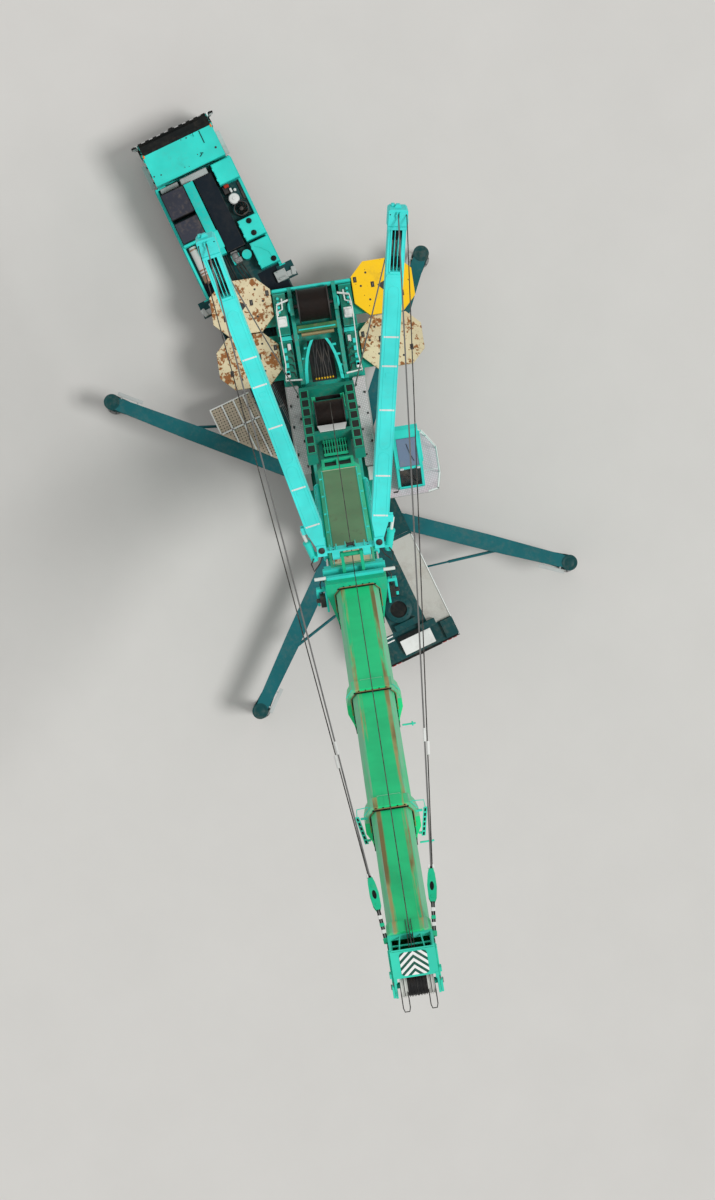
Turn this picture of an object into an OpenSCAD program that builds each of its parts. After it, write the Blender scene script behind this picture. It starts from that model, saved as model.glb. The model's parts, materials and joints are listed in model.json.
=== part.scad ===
// A telescopic crane on a nine-axle carrier, standing on its four outriggers with its
// boom raised over the rear and its two guying masts spread.
// +X points to the carrier's front, +Y to its left, +Z up. The origin lies on the ground
// under the slewing axis. All sizes are in millimetres and all angles in degrees.

/* [Carrier] */
// Front bumper's distance ahead of the slewing axis
front_x = 14050; // [13950:10:14300]
// Rear bumper's distance behind the slewing axis
rear_x = 6750; // [6700:10:7200]
// Width over the deck and the tyres
carrier_w = 3000; // [2960:10:3100]
// Height of the deck's underside
deck_z = 2200; // [2200:5:2260]
// Thickness of the deck plates
deck_t = 60; // [30:5:80]
// Width of the main frame between the wheels
frame_w = 900; // [800:10:960]
// Height of the main frame's underside
frame_z = 950; // [940:5:1000]
// Depth of the main frame
frame_d = 700; // [600:10:700]
// Width of the driver's cab
cab_w = 2700; // [2600:10:2800]
// Height of the driver's cab roof
cab_top = 3130; // [3050:10:3150]
// Thickness of the cab's walls
cab_t = 50; // [30:5:60]

/* [Wheels] */
// Outer radius of a tyre
tyre_r = 745; // [700:5:745]
// Width of a tyre
tyre_w = 445; // [385:5:445]
// Radius of a rim
rim_r = 318; // [300:2:330]
// Gap under the tyres when the crane stands on its outriggers
wheel_lift = 60; // [20:5:60]
// Distance between the axles of a group
axle_pitch = 1700; // [1680:10:1700]
// Radius of the wheel spindles
spindle_r = 60; // [50:1:65]
// Distance of a kingpin from the carrier's centre line
kingpin_y = 930; // [900:5:940]
// Radius of a kingpin
kingpin_r = 30; // [25:1:35]

/* [Outriggers] */
// Side of the square on which the four feet stand
foot_span = 12280; // [12000:20:12400]
// Front beams' pivots ahead of the slewing axis
front_pivot_x = 900; // [860:10:940]
// Rear beams' pivots behind the slewing axis
rear_pivot_x = 2000; // [1960:10:2040]
// Beam pivots' distance from the centre line
pivot_y = 1150; // [1130:5:1170]
// Radius of the beams' pivot pins
beam_pin_r = 90; // [70:1:100]
// Width of a beam over most of its length
beam_w = 540; // [500:10:560]
// Width of a beam at its tip
beam_tip_w = 430; // [400:10:460]
// Height of a beam
beam_h = 470; // [440:5:470]
// Radius of the jack tubes
jack_tube_r = 195; // [180:5:210]
// Radius of the jack rams
jack_ram_r = 150; // [120:1:155]
// Radius of the feet
foot_r = 330; // [300:5:340]
// Thickness of the feet
foot_t = 100; // [60:5:120]

/* [Superstructure] */
// Direction of the boom, from +X towards +Y
slew_rest = 163; // [155:1:170]
// Width of the superstructure
upper_w = 2900; // [2800:10:2960]
// Tail's distance behind the slewing axis
tail_x = 7080; // [7000:10:7150]
// Front edge's distance ahead of the slewing axis
upper_front_x = 1800; // [1700:10:1900]
// Radius of the slewing ring
ring_r = 1150; // [1050:10:1200]
// Height of the slewing ring
ring_h = 190; // [150:5:190]
// Thickness of the turntable's floor
floor_t = 150; // [120:5:160]
// Thickness of the two bearing plates of the boom
cheek_t = 140; // [100:5:150]
// Radius of the hoist drums
drum_r = 550; // [500:5:560]
// Width of the rear drum between its flanges
drum_w = 1030; // [960:10:1060]
// Thickness of a ballast slab
slab_t = 330; // [280:10:340]

/* [Operator's cab] */
// Length of the cab
seat_cab_l = 2150; // [2000:10:2200]
// Width of the cab
seat_cab_w = 940; // [900:10:980]
// Height of the cab
seat_cab_h = 2150; // [2000:10:2200]
// Distance of the cab's inner wall from the centre line
seat_cab_y = 2000; // [1980:10:2040]
// Thickness of its walls
seat_cab_t = 45; // [30:5:50]

/* [Boom] */
// Boom angle above the horizontal
luff_rest = 62; // [55:1:66]
// Boom pivot's distance behind the slewing axis
pivot_back = 2160; // [2120:10:2200]
// Height of the boom pivot
pivot_z = 3970; // [3940:10:4000]
// Boom's centre line above its pivot
boom_rise = 500; // [480:10:520]
// Length of the base section from the pivot
base_l = 15400; // [15200:20:15600]
// Distance between the ends of two sections
reach = 6500; // [6200:20:6600]
// Width of the base section
base_w = 1420; // [1410:2:1440]
// Depth of the base section
base_d = 1880; // [1870:2:1900]
// Difference in width from one section to the next
step_w = 97; // [90:1:98]
// Difference in depth from one section to the next
step_d = 120; // [110:1:122]
// Thickness of the sections' walls
wall = 22; // [16:1:24]
// Length of a collar
collar_l = 500; // [420:10:540]
// Radius of the boom's pivot pin
boom_pin_r = 140; // [120:1:150]
// Distance by which the last section is pulled in against the others
tip_back = 400; // [300:10:500]
// Length of the head beyond the last section
head_l = 720; // [680:10:800]

/* [Lifting cylinder] */
// Lower eye behind the slewing axis
lift_back = 600; // [580:5:620]
// Height of the lower eye
lift_z = 2960; // [2950:5:2980]
// Upper eye's distance from the boom pivot along the boom
lift_on_boom = 7000; // [6900:20:7100]
// Upper eye's distance below the boom pivot, square to the boom
lift_drop = 1100; // [1090:5:1120]
// Radius of the barrel
barrel_r = 250; // [240:5:255]
// Radius of the rod
lift_rod_r = 170; // [150:5:185]

/* [Masts] */
// Mast hinge's distance back from the base section's end
mast_back = 800; // [700:10:900]
// Mast hinge's height above the boom pivot, square to the boom
mast_hinge_z = 2150; // [2140:5:2200]
// Distance of the spreading pins beyond the hinge
mast_foot_z = 400; // [395:5:420]
// Spreading pins' distance from the centre line
mast_pin_y = 900; // [890:5:920]
// Length of a mast from its pin to its tip
mast_l = 10880; // [10800:10:11000]
// Spread of a mast from the boom's middle plane
spread_rest = 10.5; // [9:0.5:12]
// Width of a mast
mast_w = 530; // [480:5:540]
// Depth of a mast
mast_d = 460; // [420:5:480]
// Length of a mast's box-shaped head
mast_head_l = 570; // [500:10:640]
// Length of the slot below the head, through which the guying rope passes
mast_slot_l = 1380; // [1200:20:1500]
// Radius of the spreading pins
mast_pin_r = 70; // [50:1:80]

/* [Hidden] */
$fn = 48;
running = 0.05;   // radial clearance of a pin in its bore
seat_gap = 0.3;   // gap between two bodies that rest on one another
turn_gap = 15;    // gap between two plates that turn past one another

SIDES = [["left", 1], ["right", -1]];
// Columns: number of axles in the group, place of its first axle along X, steered
AXLE_GROUPS = [[2, 11750, true], [4, 7100, false], [3, -1700, false]];
// Columns: place along X, steered
AXLES = [for (g = AXLE_GROUPS) for (k = [0:g[0] - 1]) [g[1] - k * axle_pitch, g[2]]];
axle_z = tyre_r + wheel_lift;
wheel_y = carrier_w / 2 - tyre_w / 2;
hub_out = 115;
yoke_z = 112;

// Columns: name, place of the pivot along X, side, sign of X at the foot
OUTRIGGERS = [
    ["front_left", front_pivot_x, 1, 1],
    ["front_right", front_pivot_x, -1, 1],
    ["rear_left", -rear_pivot_x, 1, -1],
    ["rear_right", -rear_pivot_x, -1, -1],
];
beam_z = deck_z - turn_gap - beam_h;
star_t = 70;
star_front = 1500;
star_rear = 2600;
tube_top = beam_z + beam_h;
tube_bottom = 620;
swing_z = 1625;

ring_z = deck_z + deck_t;
upper_z = ring_z + ring_h + seat_gap;
floor_z = upper_z + floor_t;
boom_foot_w = 1410;
lift_x = -lift_back;
cheek_in = boom_foot_w / 2 + turn_gap;
cheek_y = cheek_in + cheek_t;
rear_drum_x = -6340;
rear_drum_z = 3400;
front_drum_at = 3700;
front_drum_z = boom_rise + 1450;
front_drum_r = 450;
front_drum_w = 1000;

mast_at = base_l - mast_back;
boom_top = boom_rise + base_d / 2;
boom_bottom = boom_rise - base_d / 2;
// Columns: name, end of the section from the boom pivot, rear end, width, depth
SECTIONS = [
    ["boom_base", base_l, 1100, base_w, base_d],
    for (k = [1:3]) [
        str("boom_section_", k),
        base_l + k * reach - (k == 3 ? tip_back : 0),
        7150 + (k - 1) * (reach - 150),
        base_w - k * step_w,
        base_d - k * step_d,
    ],
];
// Collars. Columns: rise over the section's top, half width at the top, half width of the ears,
// and the depths below the collar's top at which the ears are fully wide and start to narrow
COLLARS = [
    [150, 930, 957, 70, 320],
    [70, 590, 811, 520, 780],
    [70, 530, 765, 520, 820],
    [45, 500, 595, 110, 700],
];
boom_end = SECTIONS[3][1];
head_w = 1180;
sheave_at = 500;
sheave_drop = 500;
sheave_w = 840;
sheave_pin_r = 80;
lift_boss_w = 420;
lift_eye_w = 520;
lift_lug_y = lift_eye_w / 2 + 20;
jib_pin_at = boom_end + 160;
jib_pin_z = boom_rise - 760;
jib_pin_r = 45;
tow_x = 14190;
tow_r = 26;

TURQUOISE = [0.28, 0.82, 0.74];
GREEN = [0.20, 0.74, 0.48];
TEAL = [0.12, 0.40, 0.40];
CREAM = [0.90, 0.86, 0.68];
AMBER = [0.96, 0.68, 0.10];
GREY = [0.70, 0.70, 0.68];
BLACK = [0.09, 0.09, 0.10];
STEEL = [0.80, 0.82, 0.84];
SAND = [0.78, 0.75, 0.70];

// Helpers

module block(x, y, z) {
    translate([x[0], y[0], z[0]]) cube([x[1] - x[0], y[1] - y[0], z[1] - z[0]]);
}

module both_sides() {
    children();
    mirror([0, 1, 0]) children();
}

// A round bar from point a to point b
module bar(a, b, r) {
    v = b - a;
    translate(a)
        rotate([0, acos(v[2] / norm(v)), atan2(v[1], v[0])])
            cylinder(r = r, h = norm(v));
}

// A plate whose outline lies in the X-Z plane, between two places along Y
module side_plate(outline, y) {
    translate([0, y[1], 0]) rotate([90, 0, 0]) linear_extrude(y[1] - y[0]) polygon(outline);
}

// A body of revolution about the Y axis; the outline's columns are radius and Y
module turned(outline) {
    rotate([-90, 0, 0]) rotate_extrude() polygon(outline);
}

module at_upper() {
    rotate([0, 0, slew_rest]) children();
}

// Boom frame: X along the boom from its pivot, Z square to it
module at_boom() {
    at_upper() translate([-pivot_back, 0, pivot_z]) rotate([0, -luff_rest, 0]) children();
}

// Outline of a boom section: flat top with bevelled corners, round belly
function section_outline(w, d) = let (b = w * 0.12, belly = w * 0.5) concat(
    [[w / 2 - b, d / 2], [-(w / 2 - b), d / 2], [-w / 2, d / 2 - b]],
    [for (a = [180:15:360]) [w / 2 * cos(a), -d / 2 + belly + belly * sin(a)]],
    [[w / 2, d / 2 - b]]
);

// Outline of a collar: wide or eared beside the upper part, close to the belly below
function collar_outline(w, d, c) = let (top = d / 2 + c[0], r = w / 2 + 15, mid = (c[1] + 2 * c[2]) / 3) concat(
    [[c[1], top], [-c[1], top], [-mid, top - 0.45 * c[3]], [-c[2], top - c[3]], [-c[2], top - c[4]]],
    [for (a = [180:15:360]) [r * cos(a), -d / 2 + w / 2 + r * sin(a)]],
    [[c[2], top - c[4]], [c[2], top - c[3]], [mid, top - 0.45 * c[3]]]
);

// The collar c at the end of section s, a row of SECTIONS
module collar(s, c) {
    translate([s[1] - collar_l, 0, boom_rise])
        rotate([90, 0, 90])
            linear_extrude(collar_l) polygon(collar_outline(s[3], s[4], c));
}

// A prism of a boom section's outline from x0 to x1
module section_bar(w, d, x0, x1) {
    translate([x0, 0, boom_rise])
        rotate([90, 0, 90])
            linear_extrude(x1 - x0) polygon(section_outline(w, d));
}

// Wear pads inside the end of section s, on which the next section slides
module wear_pads(s) {
    side = step_w / 2 - wall;
    top = step_d / 2 - wall;
    both_sides()
        block([s[1] - 400, s[1] - 100], [s[3] / 2 - wall - side + seat_gap, s[3] / 2 - wall + 1],
              [boom_rise + 100, boom_rise + 400]);
    block([s[1] - 400, s[1] - 100], [-300, 300],
          [boom_rise + s[4] / 2 - wall - top + seat_gap, boom_rise + s[4] / 2 - wall + 1]);
}

// A hollow boom section with a collar at its end; s is a row of SECTIONS, c one of COLLARS
module section(s, c) {
    difference() {
        union() {
            section_bar(s[3], s[4], s[2], s[1]);
            collar(s, c);
        }
        section_bar(s[3] - 2 * wall, s[4] - 2 * wall, s[2] - 1, s[1] + 1);
    }
}

// Carrier

module chassis() color(TEAL) {
    top = deck_z;
    difference() {
        union() {
            block([-6400, 12600], [-frame_w / 2, frame_w / 2], [frame_z, frame_z + frame_d]);
            block([-6400, 9000], [-600, 600], [frame_z + frame_d, top]);
            block([12400, 13900], [-400, 400], [frame_z - 250, frame_z - seat_gap]);
            block([12400, 12600], [-400, 400], [frame_z - 250, frame_z + 10]);
            block([-900, 1200], [-1300, 1300], [frame_z, beam_z - turn_gap]);
            both_sides() {
                block([300, 1400], [500, 1480], [beam_z - turn_gap - star_t, beam_z - turn_gap]);
                block([-2500, -1400], [500, 1480], [beam_z - turn_gap - star_t, beam_z - turn_gap]);
            }
            block([-star_rear, star_front], [-carrier_w / 2, carrier_w / 2], [top, top + deck_t]);
            for (o = OUTRIGGERS)
                translate([o[1], o[2] * pivot_y, beam_z - turn_gap - star_t])
                    cylinder(r = beam_pin_r, h = top + deck_t - (beam_z - turn_gap - star_t));
            translate([0, 0, top + deck_t]) cylinder(r = ring_r, h = ring_h);
            for (a = AXLES) both_sides()
                block([a[0] - 130, a[0] + 130], [frame_w / 2 - 20, 700], [1500, 1570]);
            for (x = [-3950, 2850]) both_sides() {
                block([x - 80, x + 80], [580, 1060], [swing_z - 60, swing_z - 40]);
                block([x - 80, x + 80], [580, 1060], [swing_z + 40, swing_z + 60]);
                translate([x, 1000, swing_z - 60]) cylinder(r = 25, h = 120);
            }
        }
        translate([0, 0, frame_z - 1]) cylinder(r = 400, h = 3000);
    }
}

platform_y = carrier_w / 2 + 30;
platform_z = deck_z + 30;
platform_sleeves = [1800, 3900];

module deck() {
    color(GREY) for (x = platform_sleeves) {
        bar([x - 40, platform_y, platform_z], [x + 240, platform_y, platform_z], 12);
        for (e = [x - 40, x + 200 + seat_gap])
            block([e, e + 40 - seat_gap], [carrier_w / 2 - 1, platform_y + 14],
                  [platform_z - 14, platform_z + 14]);
    }
    color(SAND)
        block([-rear_x + 60, -star_rear - 10], [-carrier_w / 2, carrier_w / 2], [deck_z, deck_z + deck_t]);
    color(GREY)
        block([star_front + 10, 12200], [-carrier_w / 2, carrier_w / 2], [deck_z, deck_z + deck_t]);
    color(TURQUOISE) both_sides()
        block([8800, 12200], [carrier_w / 2 - 60, carrier_w / 2], [1720, deck_z]);
    color(GREY) both_sides()
        block([7350, 7950], [1250, 1850], [deck_z + deck_t, deck_z + deck_t + 60]);
}

// Side view of the driver's cab, drawn in by t all round
function cab_outline(t) = [
    [12260 + t, 1750 + t], [12260 + t, cab_top - 60 - t * 0.6], [12340 + t, cab_top - t],
    [13430 - t * 0.6, cab_top - t], [13580 - t, cab_top - 70 - t * 0.6], [13840 - t, 2160],
    [13989.7 - t, 2080 - t * 0.4], [13989.7 - t, frame_z + t], [12650 + t, frame_z + t],
    [12650 + t, 1750 + t],
];
DOOR = [[12760, 13500], [1080, 2960]];
DOOR_GLASS = [[12860, 13400], [2060, 2860]];
// Door pins: place along X and heights of the sleeves' lower ends
door_pin_x = DOOR[0][1] + 4;
door_pin_y = cab_w / 2 + 26;
door_sleeves = [1300, 2650];

module carrier_cab() color(TURQUOISE) {
    both_sides() for (z = door_sleeves) {
        translate([door_pin_x, door_pin_y, z - 30]) cylinder(r = 10, h = 160);
        for (e = [z - 30, z + 100 + seat_gap]) {
            translate([door_pin_x, door_pin_y, e]) cylinder(r = 14, h = 30 - seat_gap);
            block([door_pin_x, door_pin_x + 12], [door_pin_y - 10, door_pin_y + 10], [e, e + 30 - seat_gap]);
            block([door_pin_x + 11, door_pin_x + 50], [cab_w / 2 - 1, door_pin_y + 10], [e, e + 30 - seat_gap]);
        }
    }
    cab_shell();
}

module cab_shell() difference() {
    side_plate(cab_outline(0), [-cab_w / 2, cab_w / 2]);
    side_plate(cab_outline(cab_t), [-cab_w / 2 + cab_t, cab_w / 2 - cab_t]);
    both_sides() block([DOOR[0][0] - 8, DOOR[0][1] + 8], [cab_w / 2 - cab_t - 1, cab_w / 2 + 1],
                       [DOOR[1][0] - 8, DOOR[1][1] + 8]);
    block([13450, 14100], [-cab_w / 2 + 120, cab_w / 2 - 120], [2230, 2980]);
    block([12200, 12340], [-900, 900], [2250, 2850]);
}

module cab_door(s) color(TURQUOISE) mirror([0, s > 0 ? 0 : 1, 0]) difference() {
    union() {
        block(DOOR[0], [cab_w / 2 - cab_t, cab_w / 2], DOOR[1]);
        for (z = door_sleeves) {
            translate([door_pin_x, door_pin_y, z]) cylinder(r = 20, h = 100);
            block([DOOR[0][1] - 60, door_pin_x], [cab_w / 2 - 1, door_pin_y + 12], [z, z + 100]);
        }
    }
    block(DOOR_GLASS[0], [-cab_w, cab_w], DOOR_GLASS[1]);
    translate([door_pin_x, door_pin_y, 0]) cylinder(r = 10 + running, h = 4000);
}

module engine() color(BLACK)
    block([9300, 11200], [-560, 560], [frame_z + frame_d + seat_gap, deck_z - seat_gap]);

module power_pack() {
    z0 = deck_z + deck_t;
    color(BLACK) {
        block([10930, 11930], [500, 1390], [z0, 2950]);
        block([10000, 10790], [500, 1390], [z0, 2950]);
        block([9100, 11930], [-600, 70], [z0, 2750]);
    }
    color(TURQUOISE) {
        block([9100, 11930], [120, 480], [z0, 2880]);
        block([11350, 12150], [-1470, -700], [z0, 2900]);
        block([9150, 9930], [-1470, -700], [z0, 2850]);
        block([8050, 9040], [-1470, -750], [z0, 2800]);
        translate([8750, -500, z0]) cylinder(r = 170, h = 500);
    }
    color(STEEL) {
        bar([8750, 1150, z0 + 140], [9850, 1150, z0 + 140], 140);
        block([8600, 8950], [-250, 50], [z0, 2620]);
    }
}

module axles() color(BLACK) for (a = AXLES) translate([a[0], 0, axle_z]) {
    in_y = a[1] ? 800 : wheel_y + hub_out - 15;
    bar([0, -in_y, 0], [0, in_y, 0], spindle_r);
    bar([0, -790, 0], [0, 790, 0], 85);
    bar([0, -190, 0], [0, 190, 0], frame_z - axle_z - 8);
    both_sides() {
        bar([0, 610, 0], [0, 610, 1500 - seat_gap - axle_z], 65);
        if (a[1]) {
            block([-70, 70], [760, 840], [-yoke_z - 45, yoke_z + 45]);
            block([-80, 80], [760, kingpin_y + 55], [yoke_z, yoke_z + 45]);
            block([-80, 80], [760, kingpin_y + 55], [-yoke_z - 45, -yoke_z]);
            translate([0, kingpin_y, -yoke_z - 45])
                cylinder(r = kingpin_r, h = 2 * yoke_z + 90);
        } else
            bar([0, 960, 0], [0, 1030, 0], 235);
    }
}

module knuckle(a, s) color(BLACK)
    translate([a[0], 0, axle_z]) mirror([0, s > 0 ? 0 : 1, 0]) difference() {
        union() {
            translate([0, kingpin_y, -yoke_z + 2]) cylinder(r = 72, h = 2 * yoke_z - 4);
            bar([0, kingpin_y, 0], [0, wheel_y + hub_out - 15, 0], spindle_r);
            bar([0, 1030, 0], [0, 1050, 0], 200);
        }
        translate([0, kingpin_y, -yoke_z - 1])
            cylinder(r = kingpin_r + running, h = 2 * yoke_z + 2);
    }

module wheel(a, s) {
    half = tyre_w / 2;
    translate([a[0], s * wheel_y, axle_z]) mirror([0, s > 0 ? 0 : 1, 0]) difference() {
        union() {
            color(BLACK) turned([
                [rim_r, -half * 0.74], [rim_r + 80, -half], [tyre_r - 70, -half],
                [tyre_r, -half * 0.8], [tyre_r, half * 0.8], [tyre_r - 70, half],
                [rim_r + 80, half], [rim_r, half * 0.74],
            ]);
            color(TURQUOISE) {
                turned([[rim_r - 20, -half * 0.74], [rim_r, -half * 0.74],
                        [rim_r, half * 0.74], [rim_r - 20, half * 0.74]]);
                turned([[0, 60], [rim_r - 10, 60], [rim_r - 10, 85], [0, 85]]);
                turned([[0, -70], [150, -70], [150, hub_out], [120, hub_out + 25], [0, hub_out + 25]]);
            }
        }
        turned([[0, -71], [spindle_r + running, -71], [spindle_r + running, hub_out],
                [0, hub_out]]);
    }
}

// A swing-out beam lies along its own X from its pivot to its jack
function beam_vector(o) = [o[3] * foot_span / 2 - o[1], o[2] * (foot_span / 2 - pivot_y)];

// Place of the swing cylinder's lug in the beam's own frame
function swing_lug(o) = [o[3] > 0 ? 4210 : 3860, -200 * o[2] * o[3], 0];

module at_beam(o) {
    v = beam_vector(o);
    translate([o[1], o[2] * pivot_y, 0]) rotate([0, 0, atan2(v[1], v[0])]) children();
}

module outrigger(o) color(TEAL) at_beam(o) {
    l = norm(beam_vector(o));
    w = beam_w / 2;
    t = beam_tip_w / 2;
    difference() {
        union() {
            translate([0, 0, beam_z]) {
                cylinder(r = w, h = beam_h);
                linear_extrude(beam_h)
                    polygon([[0, -w], [l - 3000, -w], [l - 700, -t], [l, -t],
                             [l, t], [l - 700, t], [l - 3000, w], [0, w]]);
            }
            translate([l, 0, tube_bottom]) cylinder(r = jack_tube_r, h = tube_top - tube_bottom);
            translate([l, 0, beam_z]) cylinder(r = t + 20, h = beam_h);
            translate(swing_lug(o) + [0, 0, beam_z - 25]) cylinder(r = 60, h = 26);
        }
        translate([0, 0, beam_z - 1]) cylinder(r = beam_pin_r + running, h = beam_h + 2);
        translate([l, 0, tube_bottom - 1])
            cylinder(r = jack_ram_r + running, h = tube_top - tube_bottom - 29);
    }
}

module jack(o) color(STEEL) at_beam(o) translate([norm(beam_vector(o)), 0, 0]) {
    cylinder(r = foot_r, h = foot_t);
    cylinder(r = jack_ram_r, h = tube_top - 490);
}

module swing_cylinders() for (o = OUTRIGGERS) {
    v = beam_vector(o) / norm(beam_vector(o));
    lug = swing_lug(o);
    root = [o[3] > 0 ? 2850 : -3950, o[2] * 1000, swing_z];
    tip = [o[1] + lug[0] * v[0] - lug[1] * v[1], o[2] * pivot_y + lug[0] * v[1] + lug[1] * v[0], swing_z];
    dir = (tip - root) / norm(tip - root);
    mid = root + 0.42 * (tip - root);
    color(STEEL) difference() {
        union() {
            translate(root - [0, 0, 35]) cylinder(r = 50, h = 70);
            bar(root + 30 * dir, mid, 34);
        }
        translate(root - [0, 0, 36]) cylinder(r = 25 + running, h = 72);
    }
    color(TEAL) bar(mid + 0.3 * dir, tip, 52);
}

module side_platform() color(SAND) difference() {
    union() {
        translate([0, 0, platform_z - 25])
            linear_extrude(50)
                polygon([[1600, platform_y + 30], [4340, platform_y + 30], [4340, 3120],
                         [3380, 3120]]);
        for (x = platform_sleeves) {
            bar([x, platform_y, platform_z], [x + 200, platform_y, platform_z], 24);
            block([x, x + 200], [platform_y, platform_y + 31], [platform_z - 24, platform_z]);
        }
    }
    bar([0, platform_y, platform_z], [6000, platform_y, platform_z], 12 + running);
}

module end_fittings() {
    color(BLACK) {
        block([front_x - 60, front_x], [-1420, 1420], [650, 1900]);
        block([-rear_x, -rear_x + 60], [-850, 850], [1650, deck_z]);
        block([-rear_x, -rear_x + 60], [-carrier_w / 2, carrier_w / 2], [deck_z, deck_z + deck_t]);
        // towing jaw with an upper and a lower plate
        difference() {
            union() {
                block([front_x - 1, tow_x + 60], [-90, 90], [900, 940]);
                block([front_x - 1, tow_x + 60], [-90, 90], [1040, 1080]);
            }
            translate([tow_x, 0, 800]) cylinder(r = tow_r, h = 400);
        }
    }
    color(TEAL) {
        block([-6400, -5900], [-600, 600], [deck_z + deck_t, 2420]);
        translate([-5000, 100, deck_z + deck_t]) cylinder(r = 450, h = 130);
    }
}

// Superstructure

// Tilting pin of the operator's cab, in the cab's own place: behind its wall, above the platform
tilt_x = -40;
tilt_z = 40;
tilt_y = [220, 720];

module turntable() color(TURQUOISE) at_upper() difference() {
    union() {
        translate([0, 0, upper_z]) cylinder(r = ring_r, h = floor_t / 2);
        block([-tail_x, upper_front_x], [-upper_w / 2, upper_w / 2], [upper_z + floor_t / 2, floor_z]);
        both_sides() {
            side_plate([[upper_front_x - 200, floor_z - 1], [900, 3250], [-1600, 4250],
                        [-pivot_back, 4400], [-2600, 4200], [-3400, 3200], [-3700, floor_z - 1]],
                       [cheek_in, cheek_y]);
            block([-tail_x, -3600], [cheek_in, cheek_y], [floor_z - 1, 3200]);
            side_plate([[lift_x - 450, floor_z - 1], [lift_x - 250, lift_z + 200],
                        [lift_x + 250, lift_z + 200], [lift_x + 450, floor_z - 1]],
                       [lift_boss_w / 2 + 10, lift_boss_w / 2 + 130]);
            // ledges under the ballast
            block([-5500, -3900], [1400, 1900], [floor_z - 130, floor_z - 50 - seat_gap]);
            block([-7000, -5800], [1410, 1900], [floor_z + slab_t - 130, floor_z + slab_t - 50 - seat_gap]);
            block([-7000, -5800], [1410, 1449], [floor_z - 1, floor_z + slab_t - 130]);
        }
        block([-tail_x, -tail_x + 150], [-upper_w / 2, upper_w / 2], [floor_z - 1, 3100]);
        translate([-pivot_back, 0, pivot_z]) bar([0, -cheek_y, 0], [0, cheek_y, 0], boom_pin_r);
        translate([lift_x, 0, lift_z]) bar([0, -340, 0], [0, 340, 0], 90);
        translate([rear_drum_x, 0, rear_drum_z]) both_sides()
            block([-300, 300], [cheek_in, cheek_y], [-700, 150]);
    }
    translate([0, 0, upper_z - 1]) cylinder(r = 400, h = floor_t / 2 + 1);
    translate([rear_drum_x, 0, rear_drum_z]) bar([0, -upper_w, 0], [0, upper_w, 0], 70 + running);
}

// Outline of the platform under the operator's cab
PLATFORM = [[-1550, 1450], [850, 1450], [850, 3070], [770, 3450], [190, 3600], [-730, 3600],
            [-1240, 3250], [-1550, 2940]];

module upper_fittings() at_upper() {
    z0 = floor_z;
    color(GREY) {
        block([-3600, 150], [-1450, -1000], [z0, 3000]);
        block([-3600, -400], [1000, 1450], [z0, 3000]);
    }
    color(TURQUOISE) {
        block([-6900, -5400], [-1400, -960], [z0, 3300]);
        block([-6900, -5400], [960, 1400], [z0, 3300]);
        block([-5200, -3800], [-1400, -960], [z0, 3100]);
        block([-5200, -3800], [960, 1400], [z0, 3100]);
    }
    // the swung-out carrier arm and outer step of the operator's cab
    color(SAND) {
        translate([0, 0, floor_z - 90]) linear_extrude(90 - seat_gap) polygon(PLATFORM);
        translate([-1550, seat_cab_y, floor_z]) {
            bar([tilt_x, tilt_y[0] - 60, tilt_z], [tilt_x, tilt_y[1] + 60, tilt_z], 14);
            for (y = [tilt_y[0] - 60, tilt_y[1] + seat_gap]) {
                block([tilt_x - 30, tilt_x + 22], [y, y + 60 - seat_gap], [-90, tilt_z + 22]);
                block([tilt_x - 30, 10], [y, y + 60 - seat_gap], [-90, -seat_gap]);
            }
        }
    }
}

// An octagonal slab, its length along X and its width along Y
module slab(x, y, z) {
    c = 480;
    translate([0, 0, z]) linear_extrude(slab_t)
        polygon([[x[0] + c, y[0]], [x[1] - c, y[0]], [x[1], y[0] + c], [x[1], y[1] - c],
                 [x[1] - c, y[1]], [x[0] + c, y[1]], [x[0], y[1] - c], [x[0], y[0] + c]]);
}

// Each side's slabs: reach along X, reach along Y, colour; each lies one slab higher than the last
SLABS = [
    [[-5650, -3780], [1455, 3680], CREAM],
    [[-7600, -5680], [1455, 3620], AMBER],
];

module ballast() at_upper() both_sides() for (i = [0, 1])
    color(SLABS[i][2]) slab(SLABS[i][0], SLABS[i][1], floor_z - 50 + i * (slab_t + seat_gap));

module rear_drum() color(BLACK) at_upper() translate([rear_drum_x, 0, rear_drum_z]) {
    turned([[0, -drum_w / 2 - 50], [drum_r + 60, -drum_w / 2 - 50], [drum_r + 60, -drum_w / 2],
            [drum_r, -drum_w / 2], [drum_r, drum_w / 2], [drum_r + 60, drum_w / 2],
            [drum_r + 60, drum_w / 2 + 50], [0, drum_w / 2 + 50]]);
    bar([0, -cheek_y, 0], [0, cheek_y, 0], 70);
}

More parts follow.
